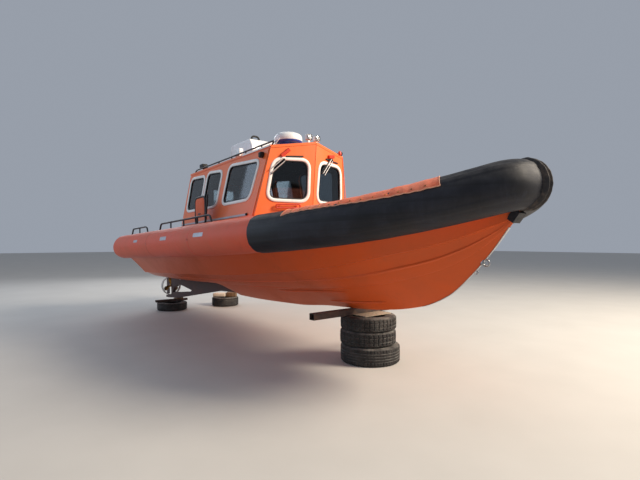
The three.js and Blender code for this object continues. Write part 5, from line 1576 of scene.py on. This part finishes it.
# %% [markdown]
# Each pad is pinched along its sewn channels after the simulation: points near a channel's line move
# inwards, by a narrow bell curve of their distance to it. Then the pads are placed on the seats' pans and
# backs.

# %% Seats
SEATS = [("helm_seat", -1.840, -0.400), ("crew_seat", -1.840, 0.400),
         ("passenger_seat_starboard", -2.640, -0.400), ("passenger_seat_port", -2.640, 0.400)]


def sewn(points, axis, lines, thin, depth=0.010, width=0.007):
    """Channels across a pad: at each line along one axis the pad gets thinner along another."""
    points = points.copy()
    bell = sum(np.exp(-((points[:, axis] - line) / width) ** 2) for line in lines)
    points[:, thin] -= np.sign(points[:, thin]) * depth * bell * (np.abs(points[:, thin]) > 0.012)
    return points


def pad_piece(name, points, faces, shift):
    """A vinyl pad as a piece of the boat."""
    mesh = bpy.data.meshes.new(name)
    mesh.from_pydata(on_boat(points + shift).tolist(), [], faces)
    mesh.shade_smooth()
    mesh.materials.append(vinyl)
    thing = linked(name, mesh)
    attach(thing, "boat")
    return thing


base_points = sewn(base_pad[0], 0, (-0.10, 0.04), 2)
back_points = sewn(back_pad[0], 2, (-0.10, 0.04, 0.17), 0)
for name, x, y in SEATS:
    pad_piece(f"{name}_base_pad", base_points, base_pad[1], (x, y, 0.800))
    pad_piece(f"{name}_back_pad", back_points, back_pad[1], (x - 0.205, y, 1.115))
    leg = math.copysign(0.305, y)
    parts = [block((x - 0.130, leg - 0.095, 0.3505), (x + 0.130, leg + 0.095, 0.380), 0.012),
             block((x - 0.085, leg - 0.070, 0.370), (x + 0.085, leg + 0.070, 0.640), 0.02, 3),
             lathe([(0, 0.10), (0.050, 0.10), (0.055, 0.07), (0.055, 0.0), (0, 0)], 28,
                   shift=(x, leg, 0.632)),
             block((x - 0.200, y - 0.170, 0.728), (x + 0.200, y + 0.170, 0.745), 0.006),
             block((x - 0.262, y - 0.120, 0.735), (x - 0.250, y + 0.120, 1.340), 0.004),
             block((x - 0.262, y - 0.120, 0.730), (x - 0.150, y + 0.120, 0.745), 0.004)]
    piece(f"{name}_frame", join(*parts), black_paint, replaces=[name])

# %% [markdown]
# The console spans the wheelhouse under the front windows. Its body is a moulding with a sloping face, and
# on it sit round gauges with pale dials, a screen, a switch row and the engine lever. The wheel has a soft
# rim with three dished spokes.

# %% Console
from_solid("console", dash_plastic, 0.008)
face_out = np.array([-1.0, 0.0, 1.4]) / math.hypot(1, 1.4)
face_turn = facing(face_out)


def on_dash(y, share, out=0.0):
    """A point on the console's sloping face: share 0 is its aft edge, 1 its forward edge."""
    return np.array([-1.340 + 0.140 * share, y, 1.130 + 0.100 * share]) + face_out * out


gauge = [(0, 0.006), (0.030, 0.006), (0.031, 0.010), (0.037, 0.010), (0.040, 0.006), (0.040, -0.004),
         (0, -0.004)]
dial = [(0, 0.0072), (0.0295, 0.0072), (0.0295, 0.005), (0, 0.005)]
spots = [on_dash(y, 0.5) for y in (-0.56, -0.24, -0.14, -0.04)]
piece("gauge_rims", join(*[lathe(gauge, 32, face_turn, spot) for spot in spots]), black_paint)
piece("gauge_dials", join(*[lathe(dial, 32, face_turn, spot) for spot in spots]), frame_white)
chart = moved(block((-0.075, -0.13, -0.002), (0.075, 0.13, 0.030), 0.010), on_dash(0.22, 0.5), face_turn)
piece("chart_screen_case", chart, black_trim)
piece("chart_screen", moved(block((-0.060, -0.112, 0.029), (0.060, 0.112, 0.032), 0.001),
                            on_dash(0.22, 0.5), face_turn), window_glass)
switches = [moved(block((-0.012, -0.008, 0), (0.012, 0.008, 0.010), 0.003), on_dash(0.42 + 0.03 * k, 0.5),
                  face_turn) for k in range(5)]
piece("switch_row", join(*switches), black_paint)
lever = join(block((-1.26, -0.125, 1.225), (-1.20, -0.055, 1.245), 0.008),
             bar([(-1.23, -0.09, 1.24), (-1.28, -0.09, 1.33)], 0.007, up=(0, 1, 0)),
             lathe([(0, 0.02), (0.014, 0.014), (0.018, 0.0), (0.014, -0.014), (0, -0.02)], 20,
                   shift=(-1.285, -0.09, 1.338)))
piece("engine_lever", lever, black_paint)

# %% Wheel
WHEEL_TURN = rotation(90 + 25, "Y")
WHEEL_AT = (-1.450, -0.400, 1.135)
ring = loop(0.165, 64)[:-1]
rim = hoop(np.concatenate([ring, 0 * ring[:, :1]], 1), loop(0.0125, 14) * [0.9, 1.1], (0, 0, 1))
spokes = []
for degrees in (90, 210, 330):
    k = np.linspace(0, 1, 9)
    path = np.stack([0.018 + 0.143 * k, 0 * k, -0.012 * np.sin(np.pi * k)], -1)
    section = np.array([(-1, -0.004), (-1, 0.004), (1, 0.004), (1, -0.004), (-1, -0.004)])
    width = 0.016 - 0.006 * np.sin(np.pi * k)
    blade = sweep(path, section[None] * np.stack([width, np.ones(9)], -1)[:, None])
    spokes.append(moved(grid(blade, caps=True), turn=rotation(degrees, "Z")))
hub = lathe([(0, -0.022), (0.022, -0.021), (0.027, -0.014), (0.028, 0.016), (0.020, 0.020), (0.012, 0.022),
             (0.012, 0.150), (0, 0.150)], 28)


def on_wheel(form):
    """A form about the z axis, placed on the wheel's shaft."""
    return moved(form, WHEEL_AT, WHEEL_TURN)


piece("wheel_rim", on_wheel(rim), black_trim, body="helm_wheel", replaces=["helm_wheel"])
piece("wheel_spokes", on_wheel(join(*spokes, hub)), steel, body="helm_wheel")

# %% [markdown]
# ## Cockpit
#
# Behind the cabin a lid covers the engine. It has two raised non-slip panels and two handles. The engine is
# a painted block with a cover, manifold, belt wheels and hoses, seen only with the lid up. The decks get
# grey non-slip panels.

# %% Lid, handles and deck panels
DECK_Z = 0.619  # just under the deck's own height
from_solid("engine_lid", hull_paint, 0.008, body="engine_lid")
LID_TOP = 0.906
piece("lid_tread", join(block((-4.90, -0.390, LID_TOP - 0.002), (-4.46, 0.390, LID_TOP + 0.004), 0.003),
                        block((-4.42, -0.390, LID_TOP - 0.002), (-3.98, 0.390, LID_TOP + 0.004), 0.003)),
      non_slip, body="engine_lid")
grips = [bar([(-4.935, y - 0.06, LID_TOP - 0.004), (-4.935, y - 0.06, LID_TOP + 0.035),
              (-4.935, y + 0.06, LID_TOP + 0.035), (-4.935, y + 0.06, LID_TOP - 0.004)], 0.006, 0.015,
             up=(1, 0, 0.01)) for y in (-0.25, 0.25)]
piece("lid_handles", join(*grips), steel, body="engine_lid")
treads = [block((-5.40, -0.72, DECK_Z), (-5.02, 0.72, 0.623), 0.002),
          block((-3.84, -0.74, DECK_Z), (-3.22, 0.74, 0.623), 0.002),
          both(block((-4.98, -0.76, DECK_Z), (-3.88, -0.48, 0.623), 0.002)),
          both(block((-3.10, -0.785, DECK_Z), (-1.10, -0.760, 0.623), 0.002)),
          block((-3.04, -0.41, 0.349), (-1.10, 0.41, 0.354), 0.002)]
piece("deck_treads", join(*treads), non_slip)


# %% Cleats, transom and door fittings
def cleat(x, y, z):
    """A horn cleat: a bar with tapering ends on two short legs."""
    k = np.linspace(-1, 1, 15)
    path = np.stack([x + 0.11 * k, y + 0 * k, z + 0.045 + 0.008 * k ** 2], -1)
    size = (0.011 - 0.005 * k ** 2)[:, None, None]
    legs = [lathe([(0, 0.045), (0.009, 0.045), (0.010, 0.012), (0.018, 0.0), (0, 0)], 16,
                  shift=(x + s, y, z))
            for s in (-0.035, 0.035)]
    return join(grid(sweep(path, size * loop(1.0, 12)), caps=True), *legs)


piece("deck_cleats", both(join(cleat(-5.25, -0.865, 0.820), cleat(-3.55, -0.865, 0.820))), steel)
turn_side = rotation(90, "Y")
door_parts = [bar([(DOOR_X, 0.225, 1.20), (-3.232, 0.225, 1.20), (-3.232, 0.105, 1.20)], 0.009, 0.02,
                  up=(0, 0, 1)),
              moved(lathe([(0, 0.006), (0.024, 0.005), (0.026, 0.0), (0, 0)], 24), (DOOR_X, 0.225, 1.20),
                    rotation(-90, "Y"))]
piece("door_handle", join(*door_parts), steel, body="cabin_door")
ladder = [bar([(-5.46, y, 0.36), (-5.50, y, 0.40), (-5.50, y, 0.86), (-5.44, y, 0.90)], 0.012, 0.03,
              up=(0, 1, 0))
          for y in (0.35, 0.62)]
rungs = [bar([(-5.50, 0.35, z), (-5.50, 0.62, z)], 0.010, up=(1, 0, 0)) for z in (0.46, 0.62, 0.78)]
piece("boarding_ladder", join(*ladder, *rungs), steel)

# %% Engine
parts = [block((-4.80, -0.20, 0.3405), (-4.06, 0.20, 0.60), 0.03, 3),
         block((-4.74, -0.16, 0.58), (-4.12, 0.16, 0.74), 0.03, 3),
         block((-4.70, -0.11, 0.73), (-4.20, 0.11, 0.825), 0.035, 3),
         block((-4.80, -0.28, 0.3405), (-4.60, 0.28, 0.40), 0.01),
         block((-4.26, -0.28, 0.3405), (-4.06, 0.28, 0.40), 0.01)]
pipes = [moved(lathe([(0, 0.05), (0.07, 0.05), (0.078, 0.035), (0.066, 0.02), (0.066, -0.02),
                      (0.078, -0.035), (0.07, -0.05), (0, -0.05)], 28), (-4.00 - 0.03, y, z), turn_side)
         for y, z in ((0.0, 0.46), (0.13, 0.66))]
runners = [bar([(-4.68 + 0.13 * k, 0.10, 0.70), (-4.68 + 0.13 * k, 0.215, 0.68),
                (-4.68 + 0.13 * k, 0.225, 0.56)],
               0.024, 0.05, up=(1, 0, 0)) for k in range(4)]
piece("engine_block", join(*parts), engine_paint, replaces=["engine"], crease=45)
piece("engine_manifold", join(*runners, bar([(-4.72, 0.235, 0.575), (-4.24, 0.235, 0.575)], 0.034, sides=18,
                                            up=(0, 1, 0))), old_steel)
piece("engine_pulleys", join(*pipes), black_paint)
hoses = [bar([(-4.14, -0.12, 0.70), (-4.05, -0.20, 0.72), (-4.05, -0.26, 0.55), (-4.16, -0.23, 0.44)],
             0.020, 0.06),
         bar([(-4.70, -0.14, 0.66), (-4.76, -0.24, 0.64), (-4.74, -0.25, 0.44)], 0.016, 0.06)]
piece("engine_hoses", join(*hoses), black_trim, crease=60)

# %% [markdown]
# ## Bow fittings
#
# The stem carries a bright metal band that keeps the keel's front edge from wear, a rubber pad under the
# nose, and a towing eye. The band's pale, hardly metallic colour is a painted reflection: the bright line
# of sunlit steel along the stem. A second, smaller eye sits lower on the stem.

# %% Stem and eyes
stem_x = np.linspace(0.95, 1.86, 60)
stem_path = np.stack([stem_x, 0 * stem_x, hull_line(stem_x, 1) - 0.001], -1)
half_band = np.interp(stem_x, [0.95, 1.2, 1.70, 1.86], [0.005, 0.008, 0.008, 0.012])[:, None, None]
band_section = np.array([(-1, 0.2), (-0.9, -0.25), (-0.4, -0.45), (0.4, -0.45), (0.9, -0.25), (1, 0.2),
                         (-1, 0.2)])
# the band's pale colour is a painted reflection: the bright line of sunlit steel on the stem
piece("stem_band", grid(sweep(stem_path, band_section * half_band, up=(-0.5, 0, 1)), caps=True),
      bright_metal)
from_solid("stem_pad", sheath_rubber, 0.012)
ring_a = np.linspace(0, 2 * np.pi, 33)[:-1]
eye_path = np.stack([1.640 + 0.028 * np.cos(ring_a), 0 * ring_a, 0.520 + 0.028 * np.sin(ring_a)], -1)
piece("tow_eye", hoop(eye_path, loop(0.0078, 14), (0, 1, 0)), steel, replaces=["bow_eye"])
small_eye_z = hull_line(1.535, 1)
small_path = np.stack([1.545 + 0.014 * np.cos(ring_a), 0 * ring_a,
                       small_eye_z - 0.010 + 0.014 * np.sin(ring_a)], -1)
plate = block((1.590, -0.014, 0.500), (1.622, 0.014, 0.552), 0.004)
piece("tow_eye_plate", join(hoop(small_path, loop(0.005, 12), (0, 1, 0)), plate), steel)

# %% [markdown]
# ## Under water
#
# The skeg is a deep plate behind the keel. It carries the shaft, a guard ring round the propeller, and the
# rudder's heel. A three-bladed propeller is three twisted blades on a hub: each blade is a thin lens
# section whose width, thickness and pitch follow a table along its length, with the pitch falling towards
# the tip.

# %% Skeg and ring
# the skeg's dark brown is painted shade from under the hull
from_solid("skeg", underside_shade_paint, 0.006)
ring_profile = [(0.183, -0.038), (0.183, 0.036), (0.186, 0.042), (0.191, 0.0435), (0.196, 0.041),
                (0.199, 0.034),
                (0.199, -0.034), (0.196, -0.041), (0.191, -0.0435), (0.186, -0.042), (0.183, -0.038)]
# the ring's pale grey is partly its own steel and partly a painted reflection of its bright rim
piece("guard_ring_band", lathe(ring_profile, 96, rotation(90, "Y"), SHAFT), old_steel,
      replaces=["guard_ring"])

# %% Propeller
BLADE = np.array([(0.020, 0.034, 0.030, 68), (0.045, 0.046, 0.026, 60), (0.080, 0.062, 0.022, 50),
                  (0.110, 0.065, 0.018, 43), (0.140, 0.056, 0.013, 37), (0.158, 0.038, 0.008, 33),
                  (0.1655, 0.016, 0.005, 32)])
span = np.linspace(0.020, 0.1655, 30)
chord, thickness, pitch = smooth_through(span, BLADE[:, 0], BLADE[:, 1:]).T
t = np.linspace(0, 2 * np.pi, 33)
u = chord[:, None] * np.cos(t)
v = thickness[:, None] / 2 * np.sin(t) * (1 - 0.25 * np.cos(t)) + 0.08 * u ** 2 / chord[:, None]
p = np.radians(pitch)[:, None]
blade = np.stack([0.5 * (u * np.sin(p) - v * np.cos(p)) - 0.04 * span[:, None],
                  u * np.cos(p) + v * np.sin(p), np.broadcast_to(span[:, None], u.shape)], -1)
blades = [moved(grid(blade, caps=True), turn=rotation(degrees, "X")) for degrees in (0, 120, 240)]
hub_profile = [(0, 0.045), (0.034, 0.045), (0.037, 0.040), (0.034, 0.0), (0.028, -0.040), (0.024, -0.050),
               (0.018, -0.062), (0.008, -0.068), (0, -0.069)]
hub = lathe(hub_profile, 36, rotation(90, "Y"))
shaft = lathe([(0, 0.150), (0.015, 0.150), (0.015, 0.040), (0, 0.040)], 28, rotation(90, "Y"))
piece("propeller_screw", moved(join(hub, shaft, *blades), SHAFT), bronze, body="propeller",
      replaces=["propeller"], crease=40)

# %% Rudder
STOCK_X = -5.790
z = np.array([-0.140, -0.136, -0.120, 0.0, 0.12, 0.205, 0.221, 0.225])
scale = np.array([0.86, 0.92, 0.945, 0.955, 0.975, 0.995, 0.97, 0.93])
k = np.linspace(0, 2 * np.pi, 41)
length = -0.010 + 0.085 * np.cos(k)
width = 0.0148 * np.sin(k) * (1 + 0.45 * np.cos(k))
blade = np.stack([STOCK_X + scale[:, None] * length, scale[:, None] * width,
                  np.broadcast_to(z[:, None], (8, 41))], -1)
stock = lathe([(0, 0.350), (0.0135, 0.350), (0.015, 0.347), (0.015, 0.20), (0, 0.20)], 24,
              shift=(STOCK_X, 0, 0))
pin = lathe([(0, -0.120), (0.011, -0.120), (0.011, -0.183), (0.008, -0.185), (0, -0.185)], 20,
            shift=(STOCK_X, 0, 0))
tiller = block((-5.810, -0.014, 0.330), (-5.660, 0.014, 0.348), 0.004)
nut = lathe([(0, 0.362), (0.010, 0.362), (0.012, 0.360), (0.012, 0.346), (0, 0.346)], 6,
            shift=(STOCK_X, 0, 0))
# the rudder's dark brown is painted shade from under the hull
piece("rudder_blade", join(grid(blade, caps=True), stock, pin, tiller), underside_shade_paint,
      body="rudder", replaces=["rudder"])
piece("rudder_nut", nut, steel, body="rudder", crease=20)
anodes = both(moved(lathe([(0, 0.014), (0.020, 0.012), (0.028, 0.004), (0.028, -0.004), (0, -0.004)], 24),
                    (-5.05, -0.031, 0.20), rotation(90, "X")))
piece("skeg_anodes", anodes, silver_patch)

# %% [markdown]
# ## Tyres
#
# A used tyre is a lathe with a pattern cut into it. Its section goes up one side wall, over the shoulder,
# across the tread, down the other side and round the open inside, so the ring is hollow like a real one.
# The tread is not only bump: radius is lowered along grooves, which are functions of the angle round the
# tyre and the place across it. The two upper front tyres have zigzag winter blocks with fine cuts, and the
# others straight ribs.

# %% Tyre rubber
def tyre_rubber(name, tint, dusted):
    """Grey-black rubber, mottled and dusty, with fine moulded rings."""
    def rings(tree, here):
        """Rings that follow the section's length, and a soft mottle."""
        flat = node(tree, "TexCoord").outputs["UV"]
        v = node(tree, "SeparateXYZ", {0: flat}).outputs[1]
        ribs = maths(tree, "SINE", maths(tree, "MULTIPLY", v, 520.0))
        mottle = fade(tree, noise(tree, here, 16.0, 6.0, 0.7), 0.45, 0.7)
        return maths(tree, "MULTIPLY", ribs, 0.5), maths(tree, "MULTIPLY", mottle, 0.25)
    return finish(name, tint, "#53504d", 0.75, 0.92, 5.0, dusted, 0.5, 0.0, 0.25, pattern=rings, bump=0.4,
                  bump_size=0.0015, Specular_IOR_Level=0.3)


dark_tyre = tyre_rubber("tyre_rubber", "#2d2b2b", 0.5)
grey_tyre = tyre_rubber("old_tyre_rubber", "#33302f", 0.8)


# %% Tyre shapes
def tyre(x, y, level, radius, width, tread):
    """A tyre lying on its side. Columns go round the section, rows round the tyre."""
    bore = radius * 0.57
    outside = [(bore, 0.024), (bore + 0.004, 0.014), (bore + 0.014, 0.010), (bore + 0.026, 0.006),
               (radius - 0.062, 0.0005), (radius - 0.038, 0.0), (radius - 0.022, 0.004),
               (radius - 0.009, 0.012), (radius - 0.003, 0.021)]
    shoulder = 0.026
    across = np.linspace(shoulder, width - shoulder, 41)
    crown = radius - 0.002 * ((across - width / 2) / (width / 2 - shoulder)) ** 2
    outer = outside + list(zip(crown, across)) + [(r, width - z) for r, z in outside[::-1]]
    inside = [(bore + 0.004, width - 0.030), (bore + 0.030, width - 0.020), (radius - 0.055, width - 0.016),
              (radius - 0.030, width - 0.034), (radius - 0.024, width - 0.060), (radius - 0.024, 0.060),
              (radius - 0.030, 0.034), (radius - 0.055, 0.016), (bore + 0.030, 0.020),
              (bore + 0.004, 0.030)]
    section = np.array(outer + inside + outer[:1])
    turns = 288
    columns = len(across)
    a = np.linspace(0, 2 * np.pi, turns + 1)
    r = np.broadcast_to(section[:, 0], (turns + 1, len(section))).copy()
    z = np.broadcast_to(section[:, 1], r.shape)
    on_tread = slice(len(outside), len(outside) + columns)
    r[:, on_tread] -= tread(a[:, None], np.linspace(-1, 1, columns)[None])
    lug = slice(len(outside) - 2, len(outside))
    r[:, lug] -= 0.003 * (np.sin(a * 48)[:, None] > 0.2)
    other = slice(len(outside) + columns, len(outside) + columns + 2)
    r[:, other] -= 0.003 * (np.sin(a * 48 + 2)[:, None] > 0.2)
    points = np.stack([r * np.cos(a)[:, None], r * np.sin(a)[:, None], z], -1)
    return moved(grid(points), (x, y, level))


def winter(a, s):
    """Zigzag grooves across the tread, two grooves round it, and fine cuts in the blocks."""
    zigzag = 0.5 * np.abs(((s * 2.5) % 2) - 1)
    cross = np.clip(1 - np.abs(((a * 38 / np.pi / 2 + 0.35 * zigzag) % 1) - 0.5) / 0.13, 0, 1)
    round_it = np.clip(1 - np.abs(np.abs(s) - 0.42 - 0.03 * np.sin(a * 76)) / 0.07, 0, 1)
    cuts = 0.25 * (np.sin(a * 38 * 4 + 6 * zigzag) > 0.55)
    return 0.010 * np.clip(cross * 1.8 + round_it * 1.6 + cuts, 0, 1)


def ribbed(a, s):
    """Four grooves round the tyre, and short cuts from the shoulders."""
    rounds = sum(np.clip(1 - np.abs(s - g) / 0.06, 0, 1) for g in (-0.6, -0.2, 0.2, 0.6))
    shoulder = np.clip(1 - np.abs(((a * 60 / np.pi / 2) % 1) - 0.5) / 0.16, 0, 1) * (np.abs(s) > 0.66)
    blocks = 0.5 * np.clip(1 - np.abs(((a * 60 / np.pi / 2 + 0.3 * s) % 1) - 0.5) / 0.12, 0, 1)
    return 0.007 * np.clip(1.6 * rounds + 1.4 * shoulder + blocks, 0, 1)


TYRES = [("tyre_front_1", 0.047, 0.196, 0.0, 0.342, 0.204, ribbed, dark_tyre),
         ("tyre_front_2", 0.031, 0.177, 0.2043, 0.322, 0.168, winter, dark_tyre),
         ("tyre_front_3", 0.034, 0.181, 0.3726, 0.322, 0.162, winter, grey_tyre),
         ("tyre_rear_starboard", -5.184, -0.145, 0.0, 0.290, 0.160, ribbed, dark_tyre),
         ("tyre_rear_port", -5.050, 0.972, 0.0, 0.280, 0.190, ribbed, dark_tyre)]
for name, x, y, level, radius, width, tread, rubber in TYRES:
    piece(f"{name}_casing", tyre(x, y, level, radius, width, tread), rubber, replaces=[name],
          place=on_ground, crease=48)

# %% [markdown]
# ## Beams and packing
#
# A rusty steel beam lies across the front tyres and a short one on the starboard rear tyre. A cream pad and
# a timber offcut lie on the loose port rear tyre. Rough timber packs the gap up to the keel, with a pale
# board beside the front beam. Rolled beams have round edges. The wood is a sawn block with worn corners and
# saw marks.

# %% Beams
def beam(low, high, radius=0.006):
    """A rectangular hollow section along y with round edges, open at its ends."""
    (x0, y0, z0), (x1, y1, z1) = low, high
    def outline(inset):
        """The section in x and z, smaller by an inset on every side."""
        corners = [(x0 + inset, z0 + inset), (x1 - inset, z0 + inset), (x1 - inset, z1 - inset),
                   (x0 + inset, z1 - inset)]
        flat = rounded(corners, max(radius - inset, 0.002), 4)
        return np.concatenate([flat, flat[:1]])
    outer, inner = outline(0.0), outline(0.005)
    def run(flat):
        """A section carried from end to end."""
        ys = np.linspace(y0, y1, 24)
        size = (24, len(flat))
        return np.stack([np.broadcast_to(flat[:, 0], size), np.broadcast_to(ys[:, None], size),
                         np.broadcast_to(flat[:, 1], size)], -1)
    a, b = run(outer), run(inner)
    return join(grid(a), grid(b), grid(np.stack([a[0], b[0]])), grid(np.stack([a[-1], b[-1]])))


front_top = float(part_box("beam_front")[1][2])
piece("beam_front_section", beam((-0.092, -0.590, 0.5349), (-0.010, 1.010, front_top)), rusty_beam,
      replaces=["beam_front"], place=on_ground, crease=50)
piece("beam_rear_section", beam((-5.290, -0.450, 0.1603), (-5.210, 0.190, 0.205)), rusty_beam,
      replaces=["beam_rear"], place=on_ground, crease=50)
piece("packing_board", block((-0.006, -0.02, 0.5350), (0.19, 0.40, 0.5445), 0.003), pale_wood,
      place=on_ground)
tilt = rotation(48, "Z")
pad = block((-0.135, -0.10, 0.0), (0.135, 0.10, 0.078), 0.022, 3)
piece("tyre_pad", moved(pad, (-5.125, 0.885, 0.1905), tilt), cream_pad, place=on_ground)
offcut = block((-0.10, -0.07, 0.0), (0.10, 0.07, 0.095), 0.004)
piece("tyre_offcut", moved(offcut, (-4.955, 1.075, 0.1905), tilt), rough_wood, place=on_ground)
from_solid("block_rear", rough_wood, 0.005)
from_solid("chock_front", rough_wood, 0.004)

# %% [markdown]
# ## Camera, light and floor
#
# The camera stands where the photograph was taken from: low, off the starboard bow, with a fairly wide
# lens. The sun there is behind the boat and to its port side, so the nose and the cabin's front are warm
# and bright and the long starboard side is in cool open shade. A large warm area light and a pale sky give
# the same split. A wide cool light off the starboard quarter, where the long side mirrors it, keeps that
# side readable, and another off the port quarter lights the stern.

# %% Camera
camera = linked("camera", bpy.data.cameras.new("camera"))
camera.location = (5.503, -3.503, 1.37)
camera.rotation_euler = Vector((-0.773, 0.635, 0.0045)).to_track_quat("-Z", "Y").to_euler()
camera.data.lens = 24.75
camera.data.sensor_width = 36
bpy.context.scene.camera = camera
print("camera at", tuple(round(v, 3) for v in camera.location))


# %% Lights
def area_light(name, place, target, size, power, colour):
    """A square area light that faces a target."""
    lamp = bpy.data.lights.new(name, "AREA")
    lamp.energy = power
    lamp.size = size
    lamp.color = colour
    thing = linked(name, lamp)
    thing.location = place
    thing.rotation_euler = (Vector(target) - Vector(place)).to_track_quat("-Z", "Y").to_euler()


area_light("warm_key", (9.5, 6.0, 8.0), (0.5, 0, 1.2), 4.0, 2600, (1.0, 0.88, 0.72))
area_light("cool_fill", (-8.0, -9.0, 5.0), (-1.0, 0, 1.0), 9.0, 330, (0.66, 0.80, 1.0))
area_light("back_fill", (-9.0, 3.0, 6.0), (-1.5, 0, 1.2), 7.0, 300, (0.95, 0.97, 1.0))
world = bpy.data.worlds.new("pale_sky")
world.use_nodes = True
world.node_tree.nodes["Background"].inputs["Color"].default_value = (0.78, 0.86, 1.0, 1.0)
world.node_tree.nodes["Background"].inputs["Strength"].default_value = 0.40
bpy.context.scene.world = world
bpy.context.scene.view_settings.view_transform = "Standard"
print(len(bpy.data.lights), "lights")

# %% [markdown]
# The floor is one big plain sheet at the boat's ground level, with a faint mottle so it doesn't look like
# paper.

# %% Floor
floor_paint = bpy.data.materials.new("pale_floor")
floor_paint.use_nodes = True
tree = floor_paint.node_tree
spots = noise(tree, node(tree, "TexCoord").outputs["Object"], 1.3, 5.0)
tree.links.new(mixed(tree, spots, hexed("#b7b4af"), hexed("#c4c1bc")),
               tree.nodes["Principled BSDF"].inputs["Base Color"])
tree.nodes["Principled BSDF"].inputs["Roughness"].default_value = 0.85
edge = 60.0
floor_mesh = bpy.data.meshes.new("floor")
floor_mesh.from_pydata([(-edge, -edge, 0), (edge, -edge, 0), (edge, edge, 0), (-edge, edge, 0)], [],
                       [(0, 1, 2, 3)])
floor_mesh.materials.append(floor_paint)
floor = linked("floor", floor_mesh)
